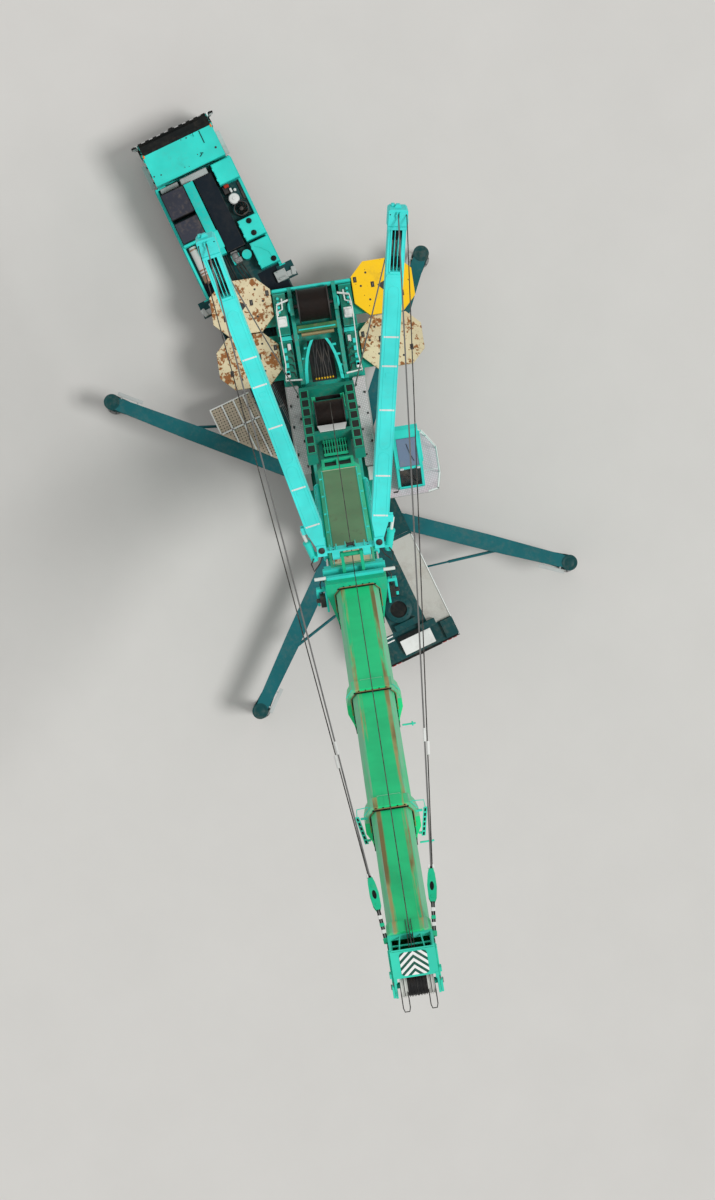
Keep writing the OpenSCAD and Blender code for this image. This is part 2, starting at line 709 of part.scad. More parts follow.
module operator_cab() color(TURQUOISE) at_upper() translate([-1550, seat_cab_y, floor_z]) {
    t = seat_cab_t;
    roof = 1500;
    brow = seat_cab_h - 900;
    outline = [[0, 0], [0, seat_cab_h - 100], [150, seat_cab_h], [roof, seat_cab_h],
               [seat_cab_l, brow], [seat_cab_l, 0]];
    inner = [[t, t], [t, seat_cab_h - 100 - t], [150 + t, seat_cab_h - t],
             [roof - t, seat_cab_h - t], [seat_cab_l - t, brow - t], [seat_cab_l - t, t]];
    // the sloping windscreen: length of the slope, and a place along it and off it
    slope = [seat_cab_l - roof, brow - seat_cab_h];
    down = slope / norm(slope);
    screen = [for (p = [[70, -90], [70, 60], [norm(slope) - 60, 60], [norm(slope) - 60, -90]])
        [roof, seat_cab_h] + p[0] * down + p[1] * [-down[1], down[0]]];
    difference() {
        side_plate(outline, [0, seat_cab_w]);
        side_plate(inner, [t, seat_cab_w - t]);
        block([450, 1450], [120, seat_cab_w - 120], [seat_cab_h - 200, seat_cab_h + 10]);
        block([300, 1250], [seat_cab_w - t - 1, seat_cab_w + 1], [100, seat_cab_h - 150]);
        side_plate(screen, [90, seat_cab_w - 90]);
        block([seat_cab_l - t - 1, seat_cab_l + 1], [90, seat_cab_w - 90], [350, brow - 110]);
        block([-1, t + 1], [120, seat_cab_w - 120], [1000, seat_cab_h - 300]);
        block([400, 1350], [-1, t + 1], [1000, seat_cab_h - 250]);
    }
    // runner of the sliding door
    block([0, 1500], [seat_cab_w - 1, seat_cab_w + 10 - seat_gap], [62, 98]);
    // sleeve on the tilting pin
    difference() {
        union() {
            bar([tilt_x, tilt_y[0], tilt_z], [tilt_x, tilt_y[1], tilt_z], 28);
            block([tilt_x, 1], tilt_y, [tilt_z - 20, tilt_z + 20]);
        }
        bar([tilt_x, 0, tilt_z], [tilt_x, seat_cab_w, tilt_z], 14 + running);
    }
}

module operator_door() color(TURQUOISE) at_upper()
    translate([-1550, seat_cab_y + seat_cab_w + 10, floor_z])
        difference() {
            block([250, 1300], [0, 40], [60, seat_cab_h - 120]);
            block([380, 1170], [-1, 41], [900, seat_cab_h - 250]);
        }

// Boom

module boom_base() color(GREEN) at_boom() {
    base_shell();
    wear_pads(SECTIONS[0]);
}

module base_shell() difference() {
    s = SECTIONS[0];
    c = COLLARS[0];
    union() {
        section_bar(s[3], s[4], s[2], s[1]);
        collar(s, c);
        both_sides() {
            // foot plates on the pivot
            side_plate([[-300, -220], [200, -320], [1400, boom_bottom + 200], [1400, boom_top - 180],
                        [-250, boom_top - 250], [-300, 300]],
                       [boom_foot_w / 2 - 90, boom_foot_w / 2]);
            // winch frame on the foot
            block([900, 6400], [620, 970], [boom_top - 10, boom_top + 350]);
            block([front_drum_at - 200, front_drum_at + 200], [510, 591],
                  [boom_top - 10, front_drum_z + 150]);
            // lugs of the lifting cylinder
            side_plate([[lift_on_boom - 450, boom_bottom + 150], [lift_on_boom - 220, -lift_drop - 180],
                        [lift_on_boom + 220, -lift_drop - 180], [lift_on_boom + 450, boom_bottom + 150]],
                       [lift_lug_y, lift_lug_y + 100]);
            // pedestals of the mast hinge
            side_plate([[mast_at - 260, boom_top - 10], [mast_at - 130, mast_hinge_z + 110],
                        [mast_at + 130, mast_hinge_z + 110], [mast_at + 260, boom_top - 10]],
                       [250, 350]);
            // cylinders that raise the masts
            bar([7200, base_w / 2 + 80, boom_rise + 500], [12500, base_w / 2 + 80, boom_rise + 500], 85);
        }
        block([900, 1150], [-970, 970], [boom_top - 10, boom_top + 350]);
        block([4600, 4850], [-970, 970], [boom_top - 10, boom_top + 350]);
        bar([mast_at, -600, mast_hinge_z], [mast_at, 600, mast_hinge_z], 70);
        // seats of the back stays
        both_sides() block([940, 1060], [969, 977.7], [boom_top + 100, boom_top + 220]);
    }
    section_bar(s[3] - 2 * wall, s[4] - 2 * wall, s[2] + 40, s[1] + 1);
    bar([0, -base_w, 0], [0, base_w, 0], boom_pin_r + running);
    bar([front_drum_at, -base_w, front_drum_z], [front_drum_at, base_w, front_drum_z], 60 + running);
    bar([lift_on_boom, -base_w, -lift_drop], [lift_on_boom, base_w, -lift_drop], 95);
}

module boom_section(k) color(GREEN) at_boom() {
    section(SECTIONS[k], COLLARS[k]);
    if (k < 3) wear_pads(SECTIONS[k]);
}

module boom_head() color(TURQUOISE) at_boom() difference() {
    x0 = boom_end + seat_gap;
    union() {
        both_sides() {
            side_plate([[x0, boom_rise - 830], [x0, boom_rise + 740], [x0 + head_l - 60, boom_rise + 740],
                        [x0 + head_l, boom_rise + 680], [x0 + head_l, boom_rise - 220],
                        [x0 + sheave_at + 120, boom_rise - 820], [x0 + 250, boom_rise - 900]],
                       [head_w / 2 - 60, head_w / 2]);
            // seats of the guy rods
            block([x0 + 100, x0 + 220], [head_w / 2 - 1, head_w / 2 + 7.7],
                  [boom_rise + 540, boom_rise + 660]);
        }
        // cross member at the section's end, and the plate across the head's end
        block([x0, x0 + 70], [-head_w / 2 + 59, head_w / 2 - 59], [boom_rise + 640, boom_rise + 740]);
        block([x0 + head_l - 40, x0 + head_l], [-head_w / 2 + 59, head_w / 2 - 59],
              [boom_rise - 150, boom_rise + 680]);
        bar([x0 + sheave_at, -head_w / 2, boom_rise - sheave_drop],
            [x0 + sheave_at, head_w / 2, boom_rise - sheave_drop], sheave_pin_r);
    }
    bar([jib_pin_at, -head_w, jib_pin_z], [jib_pin_at, head_w, jib_pin_z], jib_pin_r);
}

module head_sheaves() color(BLACK) at_boom()
    translate([boom_end + seat_gap + sheave_at, 0, boom_rise - sheave_drop])
        difference() {
            bar([0, -sheave_w / 2, 0], [0, sheave_w / 2, 0], 300);
            bar([0, -sheave_w, 0], [0, sheave_w, 0], sheave_pin_r + running);
        }

module front_drum() color(BLACK) at_boom() translate([front_drum_at, 0, front_drum_z]) {
    bar([0, -front_drum_w / 2, 0], [0, front_drum_w / 2, 0], front_drum_r);
    bar([0, -590, 0], [0, 590, 0], 60);
}

// Lifting cylinder: its lower eye in the superstructure's frame, its upper eye on the boom
function boom_point(x, z) = [
    -pivot_back + x * cos(luff_rest) - z * sin(luff_rest),
    pivot_z + x * sin(luff_rest) + z * cos(luff_rest),
];
lift_top = boom_point(lift_on_boom, -lift_drop);
lift_len = norm([lift_top[0] - lift_x, lift_top[1] - lift_z]);
lift_angle = atan2(lift_top[1] - lift_z, lift_top[0] - lift_x);
barrel_l = 4300;

module at_lift() at_upper() translate([lift_x, 0, lift_z]) rotate([0, -lift_angle, 0]) children();

module lift_barrel() color(TURQUOISE) at_lift() difference() {
    union() {
        bar([0, -lift_boss_w / 2, 0], [0, lift_boss_w / 2, 0], 230);
        bar([150, 0, 0], [461, 0, 0], lift_boss_w / 2 - 10);
        bar([460, 0, 0], [barrel_l, 0, 0], barrel_r);
    }
    bar([0, -lift_boss_w, 0], [0, lift_boss_w, 0], 90 + running);
    bar([505, 0, 0], [barrel_l + 1, 0, 0], lift_rod_r + running);
}

module lift_rod() color(STEEL) at_lift() {
    bar([2350, 0, 0], [lift_len - 80, 0, 0], lift_rod_r);
    bar([lift_len, -lift_eye_w / 2, 0], [lift_len, lift_eye_w / 2, 0], 160);
    bar([lift_len, -lift_lug_y + 5, 0], [lift_len, lift_lug_y - 5, 0], 90);
}

// Masts

module at_mast_hinge() at_boom() translate([mast_at, 0, mast_hinge_z]) children();

module mast_frame() color(TURQUOISE) at_mast_hinge() difference() {
    union() {
        block([-130, 130], [-1050, 1050], [190, 260]);
        both_sides() {
            bar([0, 360, 0], [0, 600, 0], 120);
            block([-100, 100], [360, 600], [0, 191]);
            block([-300, 300], [mast_pin_y - 150, mast_pin_y + 150], [190, 250]);
            block([-300, -250], [mast_pin_y - 150, mast_pin_y + 150], [249, mast_foot_z + 150]);
            block([250, 300], [mast_pin_y - 150, mast_pin_y + 150], [249, mast_foot_z + 150]);
            bar([-300, mast_pin_y, mast_foot_z], [300, mast_pin_y, mast_foot_z], mast_pin_r);
        }
    }
    bar([0, -601, 0], [0, 601, 0], 70 + running);
}

module mast(s) color(TURQUOISE) at_mast_hinge()
    translate([0, s * mast_pin_y, mast_foot_z]) rotate([-s * spread_rest, 0, 0]) difference() {
        union() {
            bar([-235, 0, 0], [235, 0, 0], 130);
            translate([-mast_d / 2, 0, 0]) rotate([90, 0, 90]) linear_extrude(mast_d)
                polygon([[-110, 0], [-mast_w / 2, 700], [-mast_w / 2, mast_l - mast_head_l],
                         [-mast_w / 2 - 30, mast_l - mast_head_l], [-mast_w / 2 - 30, mast_l - 60],
                         [-mast_w / 2 + 30, mast_l], [mast_w / 2 - 30, mast_l],
                         [mast_w / 2 + 30, mast_l - 60], [mast_w / 2 + 30, mast_l - mast_head_l],
                         [mast_w / 2, mast_l - mast_head_l], [mast_w / 2, 700], [110, 0]]);
            // ears of the stays, one pair ahead and one behind
            for (y = [-60, 30]) {
                block([mast_d / 2 - 1, mast_d / 2 + 120], [y, y + 30], [mast_l - 240, mast_l - 60]);
                block([-mast_d / 2 - 120, -mast_d / 2 + 1], [y, y + 30], [mast_l - 240, mast_l - 60]);
            }
        }
        bar([-300, 0, 0], [300, 0, 0], mast_pin_r + running);
        block([-mast_d / 2 - 1, mast_d / 2 + 1], [-150, 150],
              [mast_l - mast_head_l - mast_slot_l, mast_l - mast_head_l - 60]);
    }

stay_r = 22;

// Place of a stay's upper end between its ears, off the mast's face by o; e is 1 ahead, -1 behind
function stay_end(s, e, o) = let (r = mast_l - 150) [
    mast_at + e * (mast_d / 2 + o),
    s * (mast_pin_y + r * sin(spread_rest)),
    mast_hinge_z + mast_foot_z + r * cos(spread_rest),
];
function stay_foot(s, e) = e > 0
    ? [boom_end + 160, s * (head_w / 2 + 30), boom_rise + 600]
    : [1000, s * 1000, boom_top + 160];

module stays() color(STEEL) at_boom() for (s = [1, -1], e = [1, -1]) {
    v = stay_foot(s, e) - stay_end(s, e, 15);
    o = stay_r * sqrt(1 - pow(v[0] / norm(v), 2)) + seat_gap;
    bar(stay_end(s, e, o), stay_foot(s, e), stay_r);
}

chassis();
deck();
carrier_cab();
engine();
power_pack();
axles();
end_fittings();
swing_cylinders();
cab_door(1);  // cab_door_left
cab_door(-1);  // cab_door_right
side_platform();
for (o = OUTRIGGERS) {
    outrigger(o);
    jack(o);
}
for (i = [1:len(AXLES)]) for (s = SIDES) {
    wheel(AXLES[i - 1], s[1]);
    if (AXLES[i - 1][1]) knuckle(AXLES[i - 1], s[1]);
}
turntable();
upper_fittings();
ballast();
rear_drum();
operator_cab();
operator_door();
boom_base();
boom_section(1);  // boom_section_1
boom_section(2);  // boom_section_2
boom_section(3);  // boom_section_3
boom_head();
head_sheaves();
front_drum();
lift_barrel();
lift_rod();
mast_frame();
mast(1);  // mast_left
mast(-1);  // mast_right
stays();
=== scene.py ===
"""Looks of a telescopic mobile crane that stands on its outriggers, seen from straight above.

Every length is in metres. The carrier's frame is the model's own frame. The superstructure, the
boom, a swing-out beam and a mast have frames of their own, and each is a Frame below.
"""

from __future__ import annotations

import json
import logging
from dataclasses import dataclass, field
from enum import IntEnum
from math import atan2, cos, hypot, pi, radians, sin
from typing import ClassVar

import bpy
import numpy as np
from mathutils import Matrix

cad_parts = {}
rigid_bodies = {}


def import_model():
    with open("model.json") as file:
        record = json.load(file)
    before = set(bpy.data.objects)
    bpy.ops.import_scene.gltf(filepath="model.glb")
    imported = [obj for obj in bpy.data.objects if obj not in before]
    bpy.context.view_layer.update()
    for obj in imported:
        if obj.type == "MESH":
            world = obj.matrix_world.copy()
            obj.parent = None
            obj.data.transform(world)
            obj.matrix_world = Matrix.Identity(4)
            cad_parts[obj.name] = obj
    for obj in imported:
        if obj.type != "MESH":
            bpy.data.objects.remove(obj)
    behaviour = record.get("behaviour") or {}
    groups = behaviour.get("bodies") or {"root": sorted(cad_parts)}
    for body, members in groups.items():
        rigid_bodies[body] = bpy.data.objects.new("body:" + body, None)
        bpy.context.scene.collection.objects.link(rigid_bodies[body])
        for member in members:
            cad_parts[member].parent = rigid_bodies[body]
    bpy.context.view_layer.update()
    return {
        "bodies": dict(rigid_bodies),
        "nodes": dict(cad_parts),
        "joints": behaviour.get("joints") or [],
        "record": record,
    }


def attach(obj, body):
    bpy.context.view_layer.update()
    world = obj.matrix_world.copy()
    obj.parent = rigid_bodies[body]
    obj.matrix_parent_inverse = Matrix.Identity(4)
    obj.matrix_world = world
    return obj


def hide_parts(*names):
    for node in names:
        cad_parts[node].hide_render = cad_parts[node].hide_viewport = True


LOG = logging.getLogger("crane")
Array = np.ndarray
ACROSS = np.array([1.0, -1.0, 1.0])
SIDES = (-1, 1)
CUT_SHARE = 0.66
LEAST_RADIUS = 0.0006
ON_AXIS = 0.001


# Places and frames


class Axis(IntEnum):
    """The axis that a turned form, a plate or a turn goes by."""

    X = 0
    Y = 1
    Z = 2


X, Y, Z = Axis.X, Axis.Y, Axis.Z


@dataclass(frozen=True)
class Frame:
    """A turned and shifted frame, as a 3 by 3 turn and an origin."""

    turn: tuple[tuple[float, ...], ...]
    origin: tuple[float, float, float]

    def world(self, points: Array) -> Array:
        """Carries points from this frame into the model's frame.

        Args:
            points: rows of x, y, z in this frame.

        Returns:
            The same rows in the model's frame.
        """
        return np.asarray(points, float) @ np.array(self.turn).T + np.array(self.origin)

    def inner(self, turn: Array, origin: tuple[float, float, float]) -> "Frame":
        """Gives a frame that is itself placed in this one.

        Args:
            turn: the inner frame's 3 by 3 turn.
            origin: the inner frame's origin in this frame.

        Returns:
            The inner frame, stated in the model's frame.
        """
        turned = np.array(self.turn) @ turn
        return Frame(tuple(map(tuple, turned)), tuple(self.world(np.array([origin]))[0]))

    def axis(self, index: int) -> tuple[float, float, float]:
        """Gives one of this frame's axes in the model's frame."""
        return tuple(float(v) for v in np.array(self.turn)[:, index])


def turn_about(axis: Axis, angle: float) -> Array:
    """Gives the matrix that turns by the right-hand rule about an axis.

    Args:
        axis: the axis.
        angle: the angle in degrees.

    Returns:
        A 3 by 3 matrix.
    """
    c, s = cos(radians(angle)), sin(radians(angle))
    matrix = np.eye(3)
    a, b = [(1, 2), (2, 0), (0, 1)][axis]
    matrix[a, a], matrix[a, b], matrix[b, a], matrix[b, b] = c, -s, s, c
    return matrix


GROUND = Frame(((1, 0, 0), (0, 1, 0), (0, 0, 1)), (0, 0, 0))
SLEW, LUFF = 163.0, 62.0
UPPER = GROUND.inner(turn_about(Z, SLEW), (0, 0, 0))
BOOM = UPPER.inner(turn_about(Y, -LUFF), (-2.16, 0, 3.97))
RISE = 0.5
BASE_END = 15.4
REACH = 6.5
SECTION_ENDS = [BASE_END, BASE_END + REACH, BASE_END + 2 * REACH, BASE_END + 3 * REACH - 0.4]
BOOM_END, HEAD_LENGTH, HEAD_WIDTH = SECTION_ENDS[3], 0.72, 1.18
SECTION_SIZES = [(1.42, 1.88), (1.323, 1.76), (1.226, 1.64), (1.129, 1.52)]
COLLARS = [(0.15, 0.93, 0.957, 0.07, 0.32), (0.07, 0.59, 0.811, 0.52, 0.78),
           (0.07, 0.53, 0.765, 0.52, 0.82)]
DECK_TOP = 2.26
FLOOR_TOP = 2.6003
REAR_DRUM = (-6.34, 3.40)
MAST_AT, MAST_HINGE_Z, MAST_FOOT, MAST_PIN_Y = 14.6, 2.15, 0.4, 0.9
MAST_LENGTH, MAST_SPREAD = 10.88, 10.5
MAST_W, MAST_D = 0.53, 0.46
AXLE_X = [11.75, 10.05, 7.1, 5.4, 3.7, 2.0, -1.7, -3.4, -5.1]
WHEEL_Y, AXLE_Z, RIM_R = 1.2775, 0.805, 0.318
FOOT_HALF, BEAM_PIVOT_Y = 6.14, 1.15
BEAM_TOP, BEAM_BOTTOM = 2.185, 1.715


def mast_frame(side: int) -> Frame:
    """Gives the frame of a mast: z from its pin to its tip, x across towards the boom's head."""
    return BOOM.inner(turn_about(X, -side * MAST_SPREAD),
        (MAST_AT, side * MAST_PIN_Y, MAST_HINGE_Z + MAST_FOOT))


@dataclass(frozen=True)
class Beam:
    """One swing-out beam, by its name, its pivot and the corner that its foot stands on."""

    name: str
    pivot_x: float
    side: int
    fore: int

    @property
    def length(self) -> float:
        """Distance from the pivot to the jack."""
        return hypot(self.fore * FOOT_HALF - self.pivot_x, FOOT_HALF - BEAM_PIVOT_Y)

    @property
    def frame(self) -> Frame:
        """Frame with x along the beam from its pivot and z up from the ground."""
        angle = atan2(self.side * (FOOT_HALF - BEAM_PIVOT_Y), self.fore * FOOT_HALF - self.pivot_x)
        turn = turn_about(Z, angle * 180 / pi)
        return GROUND.inner(turn, (self.pivot_x, self.side * BEAM_PIVOT_Y, 0))


BEAMS = [Beam("front_left", 0.9, 1, 1), Beam("front_right", 0.9, -1, 1), Beam("rear_left", -2.0, 1, -1),
         Beam("rear_right", -2.0, -1, -1)]


# Meshes


def sheet_faces(rows: int, columns: int, wrap_rows: bool, wrap_columns: bool) -> Array:
    """Quads of a grid of points whose index is row times columns plus column.

    Args:
        rows: number of rows.
        columns: number of columns.
        wrap_rows: whether the last row joins the first.
        wrap_columns: whether the last column joins the first.

    Returns:
        An array of quads.
    """
    r = np.arange(rows if wrap_rows else rows - 1)[:, None]
    c = np.arange(columns if wrap_columns else columns - 1)[None, :]
    r2, c2 = (r + 1) % rows, (c + 1) % columns
    quads = np.stack([r * columns + c, r * columns + c2, r2 * columns + c2, r2 * columns + c], -1)
    return quads.reshape(-1, 4)


def around(count: int, radius: float, start: float = 0.0) -> list[tuple[float, float]]:
    """Gives points evenly spaced round a circle.

    Args:
        count: how many.
        radius: the circle's radius.
        start: the first one's angle in radians.

    Returns:
        The two coordinates of each.
    """
    angles = [start + 2 * pi * k / count for k in range(count)]
    return [(radius * cos(a), radius * sin(a)) for a in angles]


def frame_along(path: Array) -> tuple[Array, Array]:
    """Two unit vectors square to a path at each of its points, by carrying the first along.

    Args:
        path: rows of points.

    Returns:
        The first and the second vector at each point.
    """
    step = np.gradient(path, axis=0)
    step /= np.linalg.norm(step, axis=1)[:, None]
    side = np.zeros_like(path)
    seed = np.array([0.0, 0.0, 1.0]) if abs(step[0, 2]) < 0.9 else np.array([1.0, 0.0, 0.0])
    for i, t in enumerate(step):
        seed = seed - t * (seed @ t)
        seed /= np.linalg.norm(seed)
        side[i] = seed
    return side, np.cross(step, side)


class Shape:
    """Gathers surfaces that are worked out as whole arrays, and makes one mesh of them."""

    def __init__(self, frame: Frame = GROUND) -> None:
        """Starts an empty shape in a frame."""
        self.frame = frame
        self.points: list[Array] = []
        self.faces: list[list[int]] = []
        self.count = 0

    def add(self, points: Array, faces: "Array | list[list[int]]") -> None:
        """Adds points in this shape's frame, with faces that count from the first of them."""
        self.points.append(self.frame.world(points))
        if isinstance(faces, np.ndarray):
            self.faces.extend((faces + self.count).tolist())
        else:
            self.faces.extend([[i + self.count for i in f] for f in faces])
        self.count += len(points)

    def box(self, low: tuple, high: tuple, edge: float = 0.012, turn: Array | None = None,
            both: bool = False) -> "Shape":
        """A block with its twelve edges cut at 45 degrees.

        Each corner of the block becomes three points, each drawn in by the cut along two axes.

        Args:
            low: lowest corner.
            high: highest corner.
            edge: width of the cut, at most CUT_SHARE of half the thinnest side.
            turn: a turn about the block's middle.
            both: makes it on both sides of the frame's middle plane.

        Returns:
            This shape.
        """
        low_, high_ = np.minimum(low, high), np.maximum(low, high)
        half = (high_ - low_) / 2
        cut = min(edge, float(half.min()) * CUT_SHARE)
        signs = np.array([[i, j, k] for i in SIDES for j in SIDES for k in SIDES], float)
        points = np.concatenate([signs * (half - cut * (1 - np.eye(3)[a])) for a in range(3)])
        if turn is not None:
            points = points @ turn.T
        s = signs.astype(int)
        index = {tuple(v): i for i, v in enumerate(s.tolist())}
        faces: list[list[int]] = []
        for a in range(3):
            b, c = (a + 1) % 3, (a + 2) % 3
            for sign in SIDES:
                ring = []
                for p, q in ((-1, -1), (1, -1), (1, 1), (-1, 1)):
                    v = [0, 0, 0]
                    v[a], v[b], v[c] = sign, p, q
                    ring.append(index[tuple(v)] + 8 * a)
                faces.append(ring if sign > 0 else ring[::-1])
            for p in SIDES:
                for q in SIDES:
                    u, v = [0, 0, 0], [0, 0, 0]
                    u[a], u[b], u[c] = -1, p, q
                    v[a], v[b], v[c] = 1, p, q
                    i, j = index[tuple(u)], index[tuple(v)]
                    quad = [i + 8 * b, j + 8 * b, j + 8 * c, i + 8 * c]
                    faces.append(quad if p * q > 0 else quad[::-1])
        for v in s.tolist():
            i = index[tuple(v)]
            tri = [i, i + 8, i + 16]
            faces.append(tri if v[0] * v[1] * v[2] > 0 else tri[::-1])
        self.add(points + (low_ + high_) / 2, faces)
        return self.box(ACROSS * low, ACROSS * high, edge, turn) if both else self

    def boxes(self, *rows: tuple, both: bool = False) -> "Shape":
        """Blocks, each a row of its low corner, its high corner and its cut."""
        for row in rows:
            self.box(row[:3], row[3:6], row[6], both=both)
        return self

    def tube(self, path: "Array | list", radius: float, sides: int = 10, closed: bool = False,
             both: bool = False) -> "Shape":
        """A round bar: a circle of the given radius carried along a path, closed by flat ends.

        Args:
            path: rows of points.
            radius: the circle's radius.
            sides: points round the circle.
            closed: whether the path is a loop.
            both: makes it on both sides of the frame's middle plane.

        Returns:
            This shape.
        """
        path = np.asarray(path, float)
        u, v = frame_along(path)
        a = np.linspace(0, 2 * pi, sides, endpoint=False)
        ring = path[:, None] + radius * (np.cos(a)[:, None] * u[:, None] + np.sin(a)[:, None] * v[:, None])
        faces = sheet_faces(len(path), sides, closed, True).tolist()
        if not closed:
            last = (len(path) - 1) * sides
            faces += [list(range(sides))[::-1], list(range(last, last + sides))]
        self.add(ring.reshape(-1, 3), faces)
        return self.tube(ACROSS * path, radius, sides, closed) if both else self

    def lathe(self, profile: "Array | list", centre: tuple, axis: Axis = Z, sides: int = 32,
              flip: bool = False,
              both: bool = False) -> "Shape":
        """A turned form: a closed profile of radius and height swept round an axis.

        Args:
            profile: rows of radius and height, in order round the form's section.
            centre: a point on the axis, from which height counts.
            axis: the axis.
            sides: points round the axis.
            flip: counts height the other way.
            both: makes it on both sides of the frame's middle plane.

        Returns:
            This shape.
        """
        p = np.maximum(np.asarray(profile, float), [LEAST_RADIUS, -np.inf])
        if flip:
            p = (p * [1, -1])[::-1]
        a = np.linspace(0, 2 * pi, sides, endpoint=False)
        ring = np.zeros((sides, len(p), 3))
        b, c = (axis + 1) % 3, (axis + 2) % 3
        ring[..., b] = np.cos(a)[:, None] * p[None, :, 0]
        ring[..., c] = np.sin(a)[:, None] * p[None, :, 0]
        ring[..., axis] = p[None, :, 1]
        faces = sheet_faces(sides, len(p), True, True)[:, ::-1]
        on_axis = p[:, 0] < ON_AXIS
        self.add(ring.reshape(-1, 3) + np.array(centre, float), faces[~on_axis[faces % len(p)].all(1)])
        return self.lathe(profile, ACROSS * centre, axis, sides, flip != (axis == Y)) if both else self

    def disc(self, radius: float, rim: float, middle: float, centre: tuple, axis: Axis = Z, sides: int = 32,
             flip: bool = False, both: bool = False) -> "Shape":
        """A turned disc or bolt head on a base at height 0.

        Args:
            radius: its radius.
            rim: its height at the rim.
            middle: its height on the axis.
            centre: the middle of its base.
            axis: the axis.
            sides: points round the axis.
            flip: counts height the other way.
            both: makes it on both sides of the frame's middle plane.

        Returns:
            This shape.
        """
        return self.lathe([(0, 0), (radius, 0), (radius, rim), (0, middle)], centre, axis, sides, flip,
            both)

    def ring(self, inner: float, outer: float, low: float, high: float, centre: tuple, axis: Axis = Z,
             sides: int = 32, flip: bool = False, both: bool = False) -> "Shape":
        """A turned ring of rectangular section, or a plain drum where the inner radius is 0.

        Args:
            inner: inner radius.
            outer: outer radius.
            low: one face's height.
            high: the other face's height.
            centre: a point on the axis, from which height counts.
            axis: the axis.
            sides: points round the axis.
            flip: counts height the other way.
            both: makes it on both sides of the frame's middle plane.

        Returns:
            This shape.
        """
        profile = [(inner, low), (outer, low), (outer, high), (inner, high)]
        return self.lathe(profile, centre, axis, sides, flip, both)

    def plate(self, outline: "Array | list", low: float, high: float, axis: Axis = Z) -> "Shape":
        """A flat plate: an outline in the plane square to an axis, carried from low to high.

        Args:
            outline: rows of the two coordinates that follow the axis in the order X, Y, Z, X.
            low: one face's place along the axis.
            high: the other face's place.
            axis: the axis.

        Returns:
            This shape.
        """
        o = np.asarray(outline, float)
        x, y = o[:, 0], o[:, 1]
        if np.sum(x * np.roll(y, -1) - np.roll(x, -1) * y) < 0:
            o = o[::-1]
        n = len(o)
        points = np.zeros((2 * n, 3))
        points[:, (axis + 1) % 3] = np.tile(o[:, 0], 2)
        points[:, (axis + 2) % 3] = np.tile(o[:, 1], 2)
        points[:, axis] = np.repeat([low, high], n)
        i = np.arange(n)
        j = (i + 1) % n
        faces = np.stack([i, j, j + n, i + n], -1).tolist()
        self.add(points, faces + [list(range(n))[::-1], list(range(n, 2 * n))])
        return self

    def mesh(self, name: str) -> bpy.types.Mesh:
        """Makes the gathered surfaces into one mesh."""
        data = bpy.data.meshes.new(name)
        data.from_pydata(np.concatenate(self.points).tolist(), [], self.faces)
        data.update()
        return data


def place(name: str, shape: Shape, body: str, finish: "Finish", slot: str = "",
          smooth: float = 35.0) -> bpy.types.Object:
    """Puts a shape into the scene as a piece that rides on a body.

    Args:
        name: the piece's name.
        shape: its surfaces.
        body: the body that it moves with.
        finish: its finish.
        slot: not used.
        smooth: edges flatter than this many degrees are shaded smooth.

    Returns:
        The new object.
    """
    data = shape.mesh(name)
    piece = bpy.data.objects.new(name, data)
    bpy.context.scene.collection.objects.link(piece)
    data.materials.append(finish.material())
    data.shade_smooth()
    data.set_sharp_from_angle(angle=radians(smooth))
    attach(piece, body)
    LOG.info("%s: %d faces on %s", name, len(data.polygons), body)
    return piece


@dataclass
class Assembly:
    """A sub-assembly: make() begins its pieces and shapes them, and build() puts them into the scene."""

    body: ClassVar[str] = "carrier"
    frame: ClassVar[Frame] = GROUND
    pieces: list = field(default_factory=list, kw_only=True)

    def piece(self, name: str, finish: "Finish", body: str = "", frame: Frame | None = None) -> Shape:
        """Begins a piece.

        Args:
            name: the piece's name.
            finish: its finish.
            body: the body that it moves with; the assembly's own by default.
            frame: the frame that its coordinates count in; the assembly's own by default.

        Returns:
            Its shape, still empty.
        """
        shape = Shape(frame or self.frame)
        self.pieces.append((name, shape, body or self.body, finish))
        return shape

    def make(self) -> None:
        """Shapes every piece; each sub-assembly has its own."""

    def build(self) -> None:
        """Makes every piece and places it."""
        self.make()
        for piece in self.pieces:
            place(*piece)


# Shaders


Value = "Socket | float"


class Socket:
    """A socket of a material, whose arithmetic adds Math nodes."""

    def __init__(self, shader: "Shader", out: bpy.types.NodeSocket) -> None:
        """Wraps an output socket."""
        self.shader, self.out = shader, out

    def math(self, operation: str, *values: Value) -> "Socket":
        """Adds a Math node that takes this socket and then the given values."""
        return self.shader.node("ShaderNodeMath", {"operation": operation},
            dict(enumerate((self, *values))))

    def __add__(self, other: Value) -> "Socket":
        """Sum."""
        return self.math("ADD", other)

    __radd__ = __add__

    def __mul__(self, other: Value) -> "Socket":
        """Product."""
        return self.math("MULTIPLY", other)

    __rmul__ = __mul__

    def __sub__(self, other: Value) -> "Socket":
        """Difference."""
        return self.math("SUBTRACT", other)

    def __rsub__(self, other: Value) -> "Socket":
        """Difference from a value."""
        return (self * -1.0) + other

    def over(self, limit: float) -> "Socket":
        """1 where this is over a limit, else 0."""
        return self.math("GREATER_THAN", limit)

    def under(self, limit: float) -> "Socket":
        """1 where this is under a limit, else 0."""
        return self.math("LESS_THAN", limit)

    def size(self) -> "Socket":
        """This value without its sign."""
        return self.math("ABSOLUTE")

    def wave(self, pitch: float) -> "Socket":
        """A sine from 0 to 1 that repeats every pitch."""
        return (self * (2 * pi / pitch)).math("SINE") * 0.5 + 0.5

    def ramp(self, low: float, high: float) -> "Socket":
        """Rises smoothly from 0 at low to 1 at high."""
        settings = {"interpolation_type": "SMOOTHSTEP"}
        return self.shader.node("ShaderNodeMapRange", settings, {0: self, 1: low, 2: high, 3: 0.0, 4: 1.0})


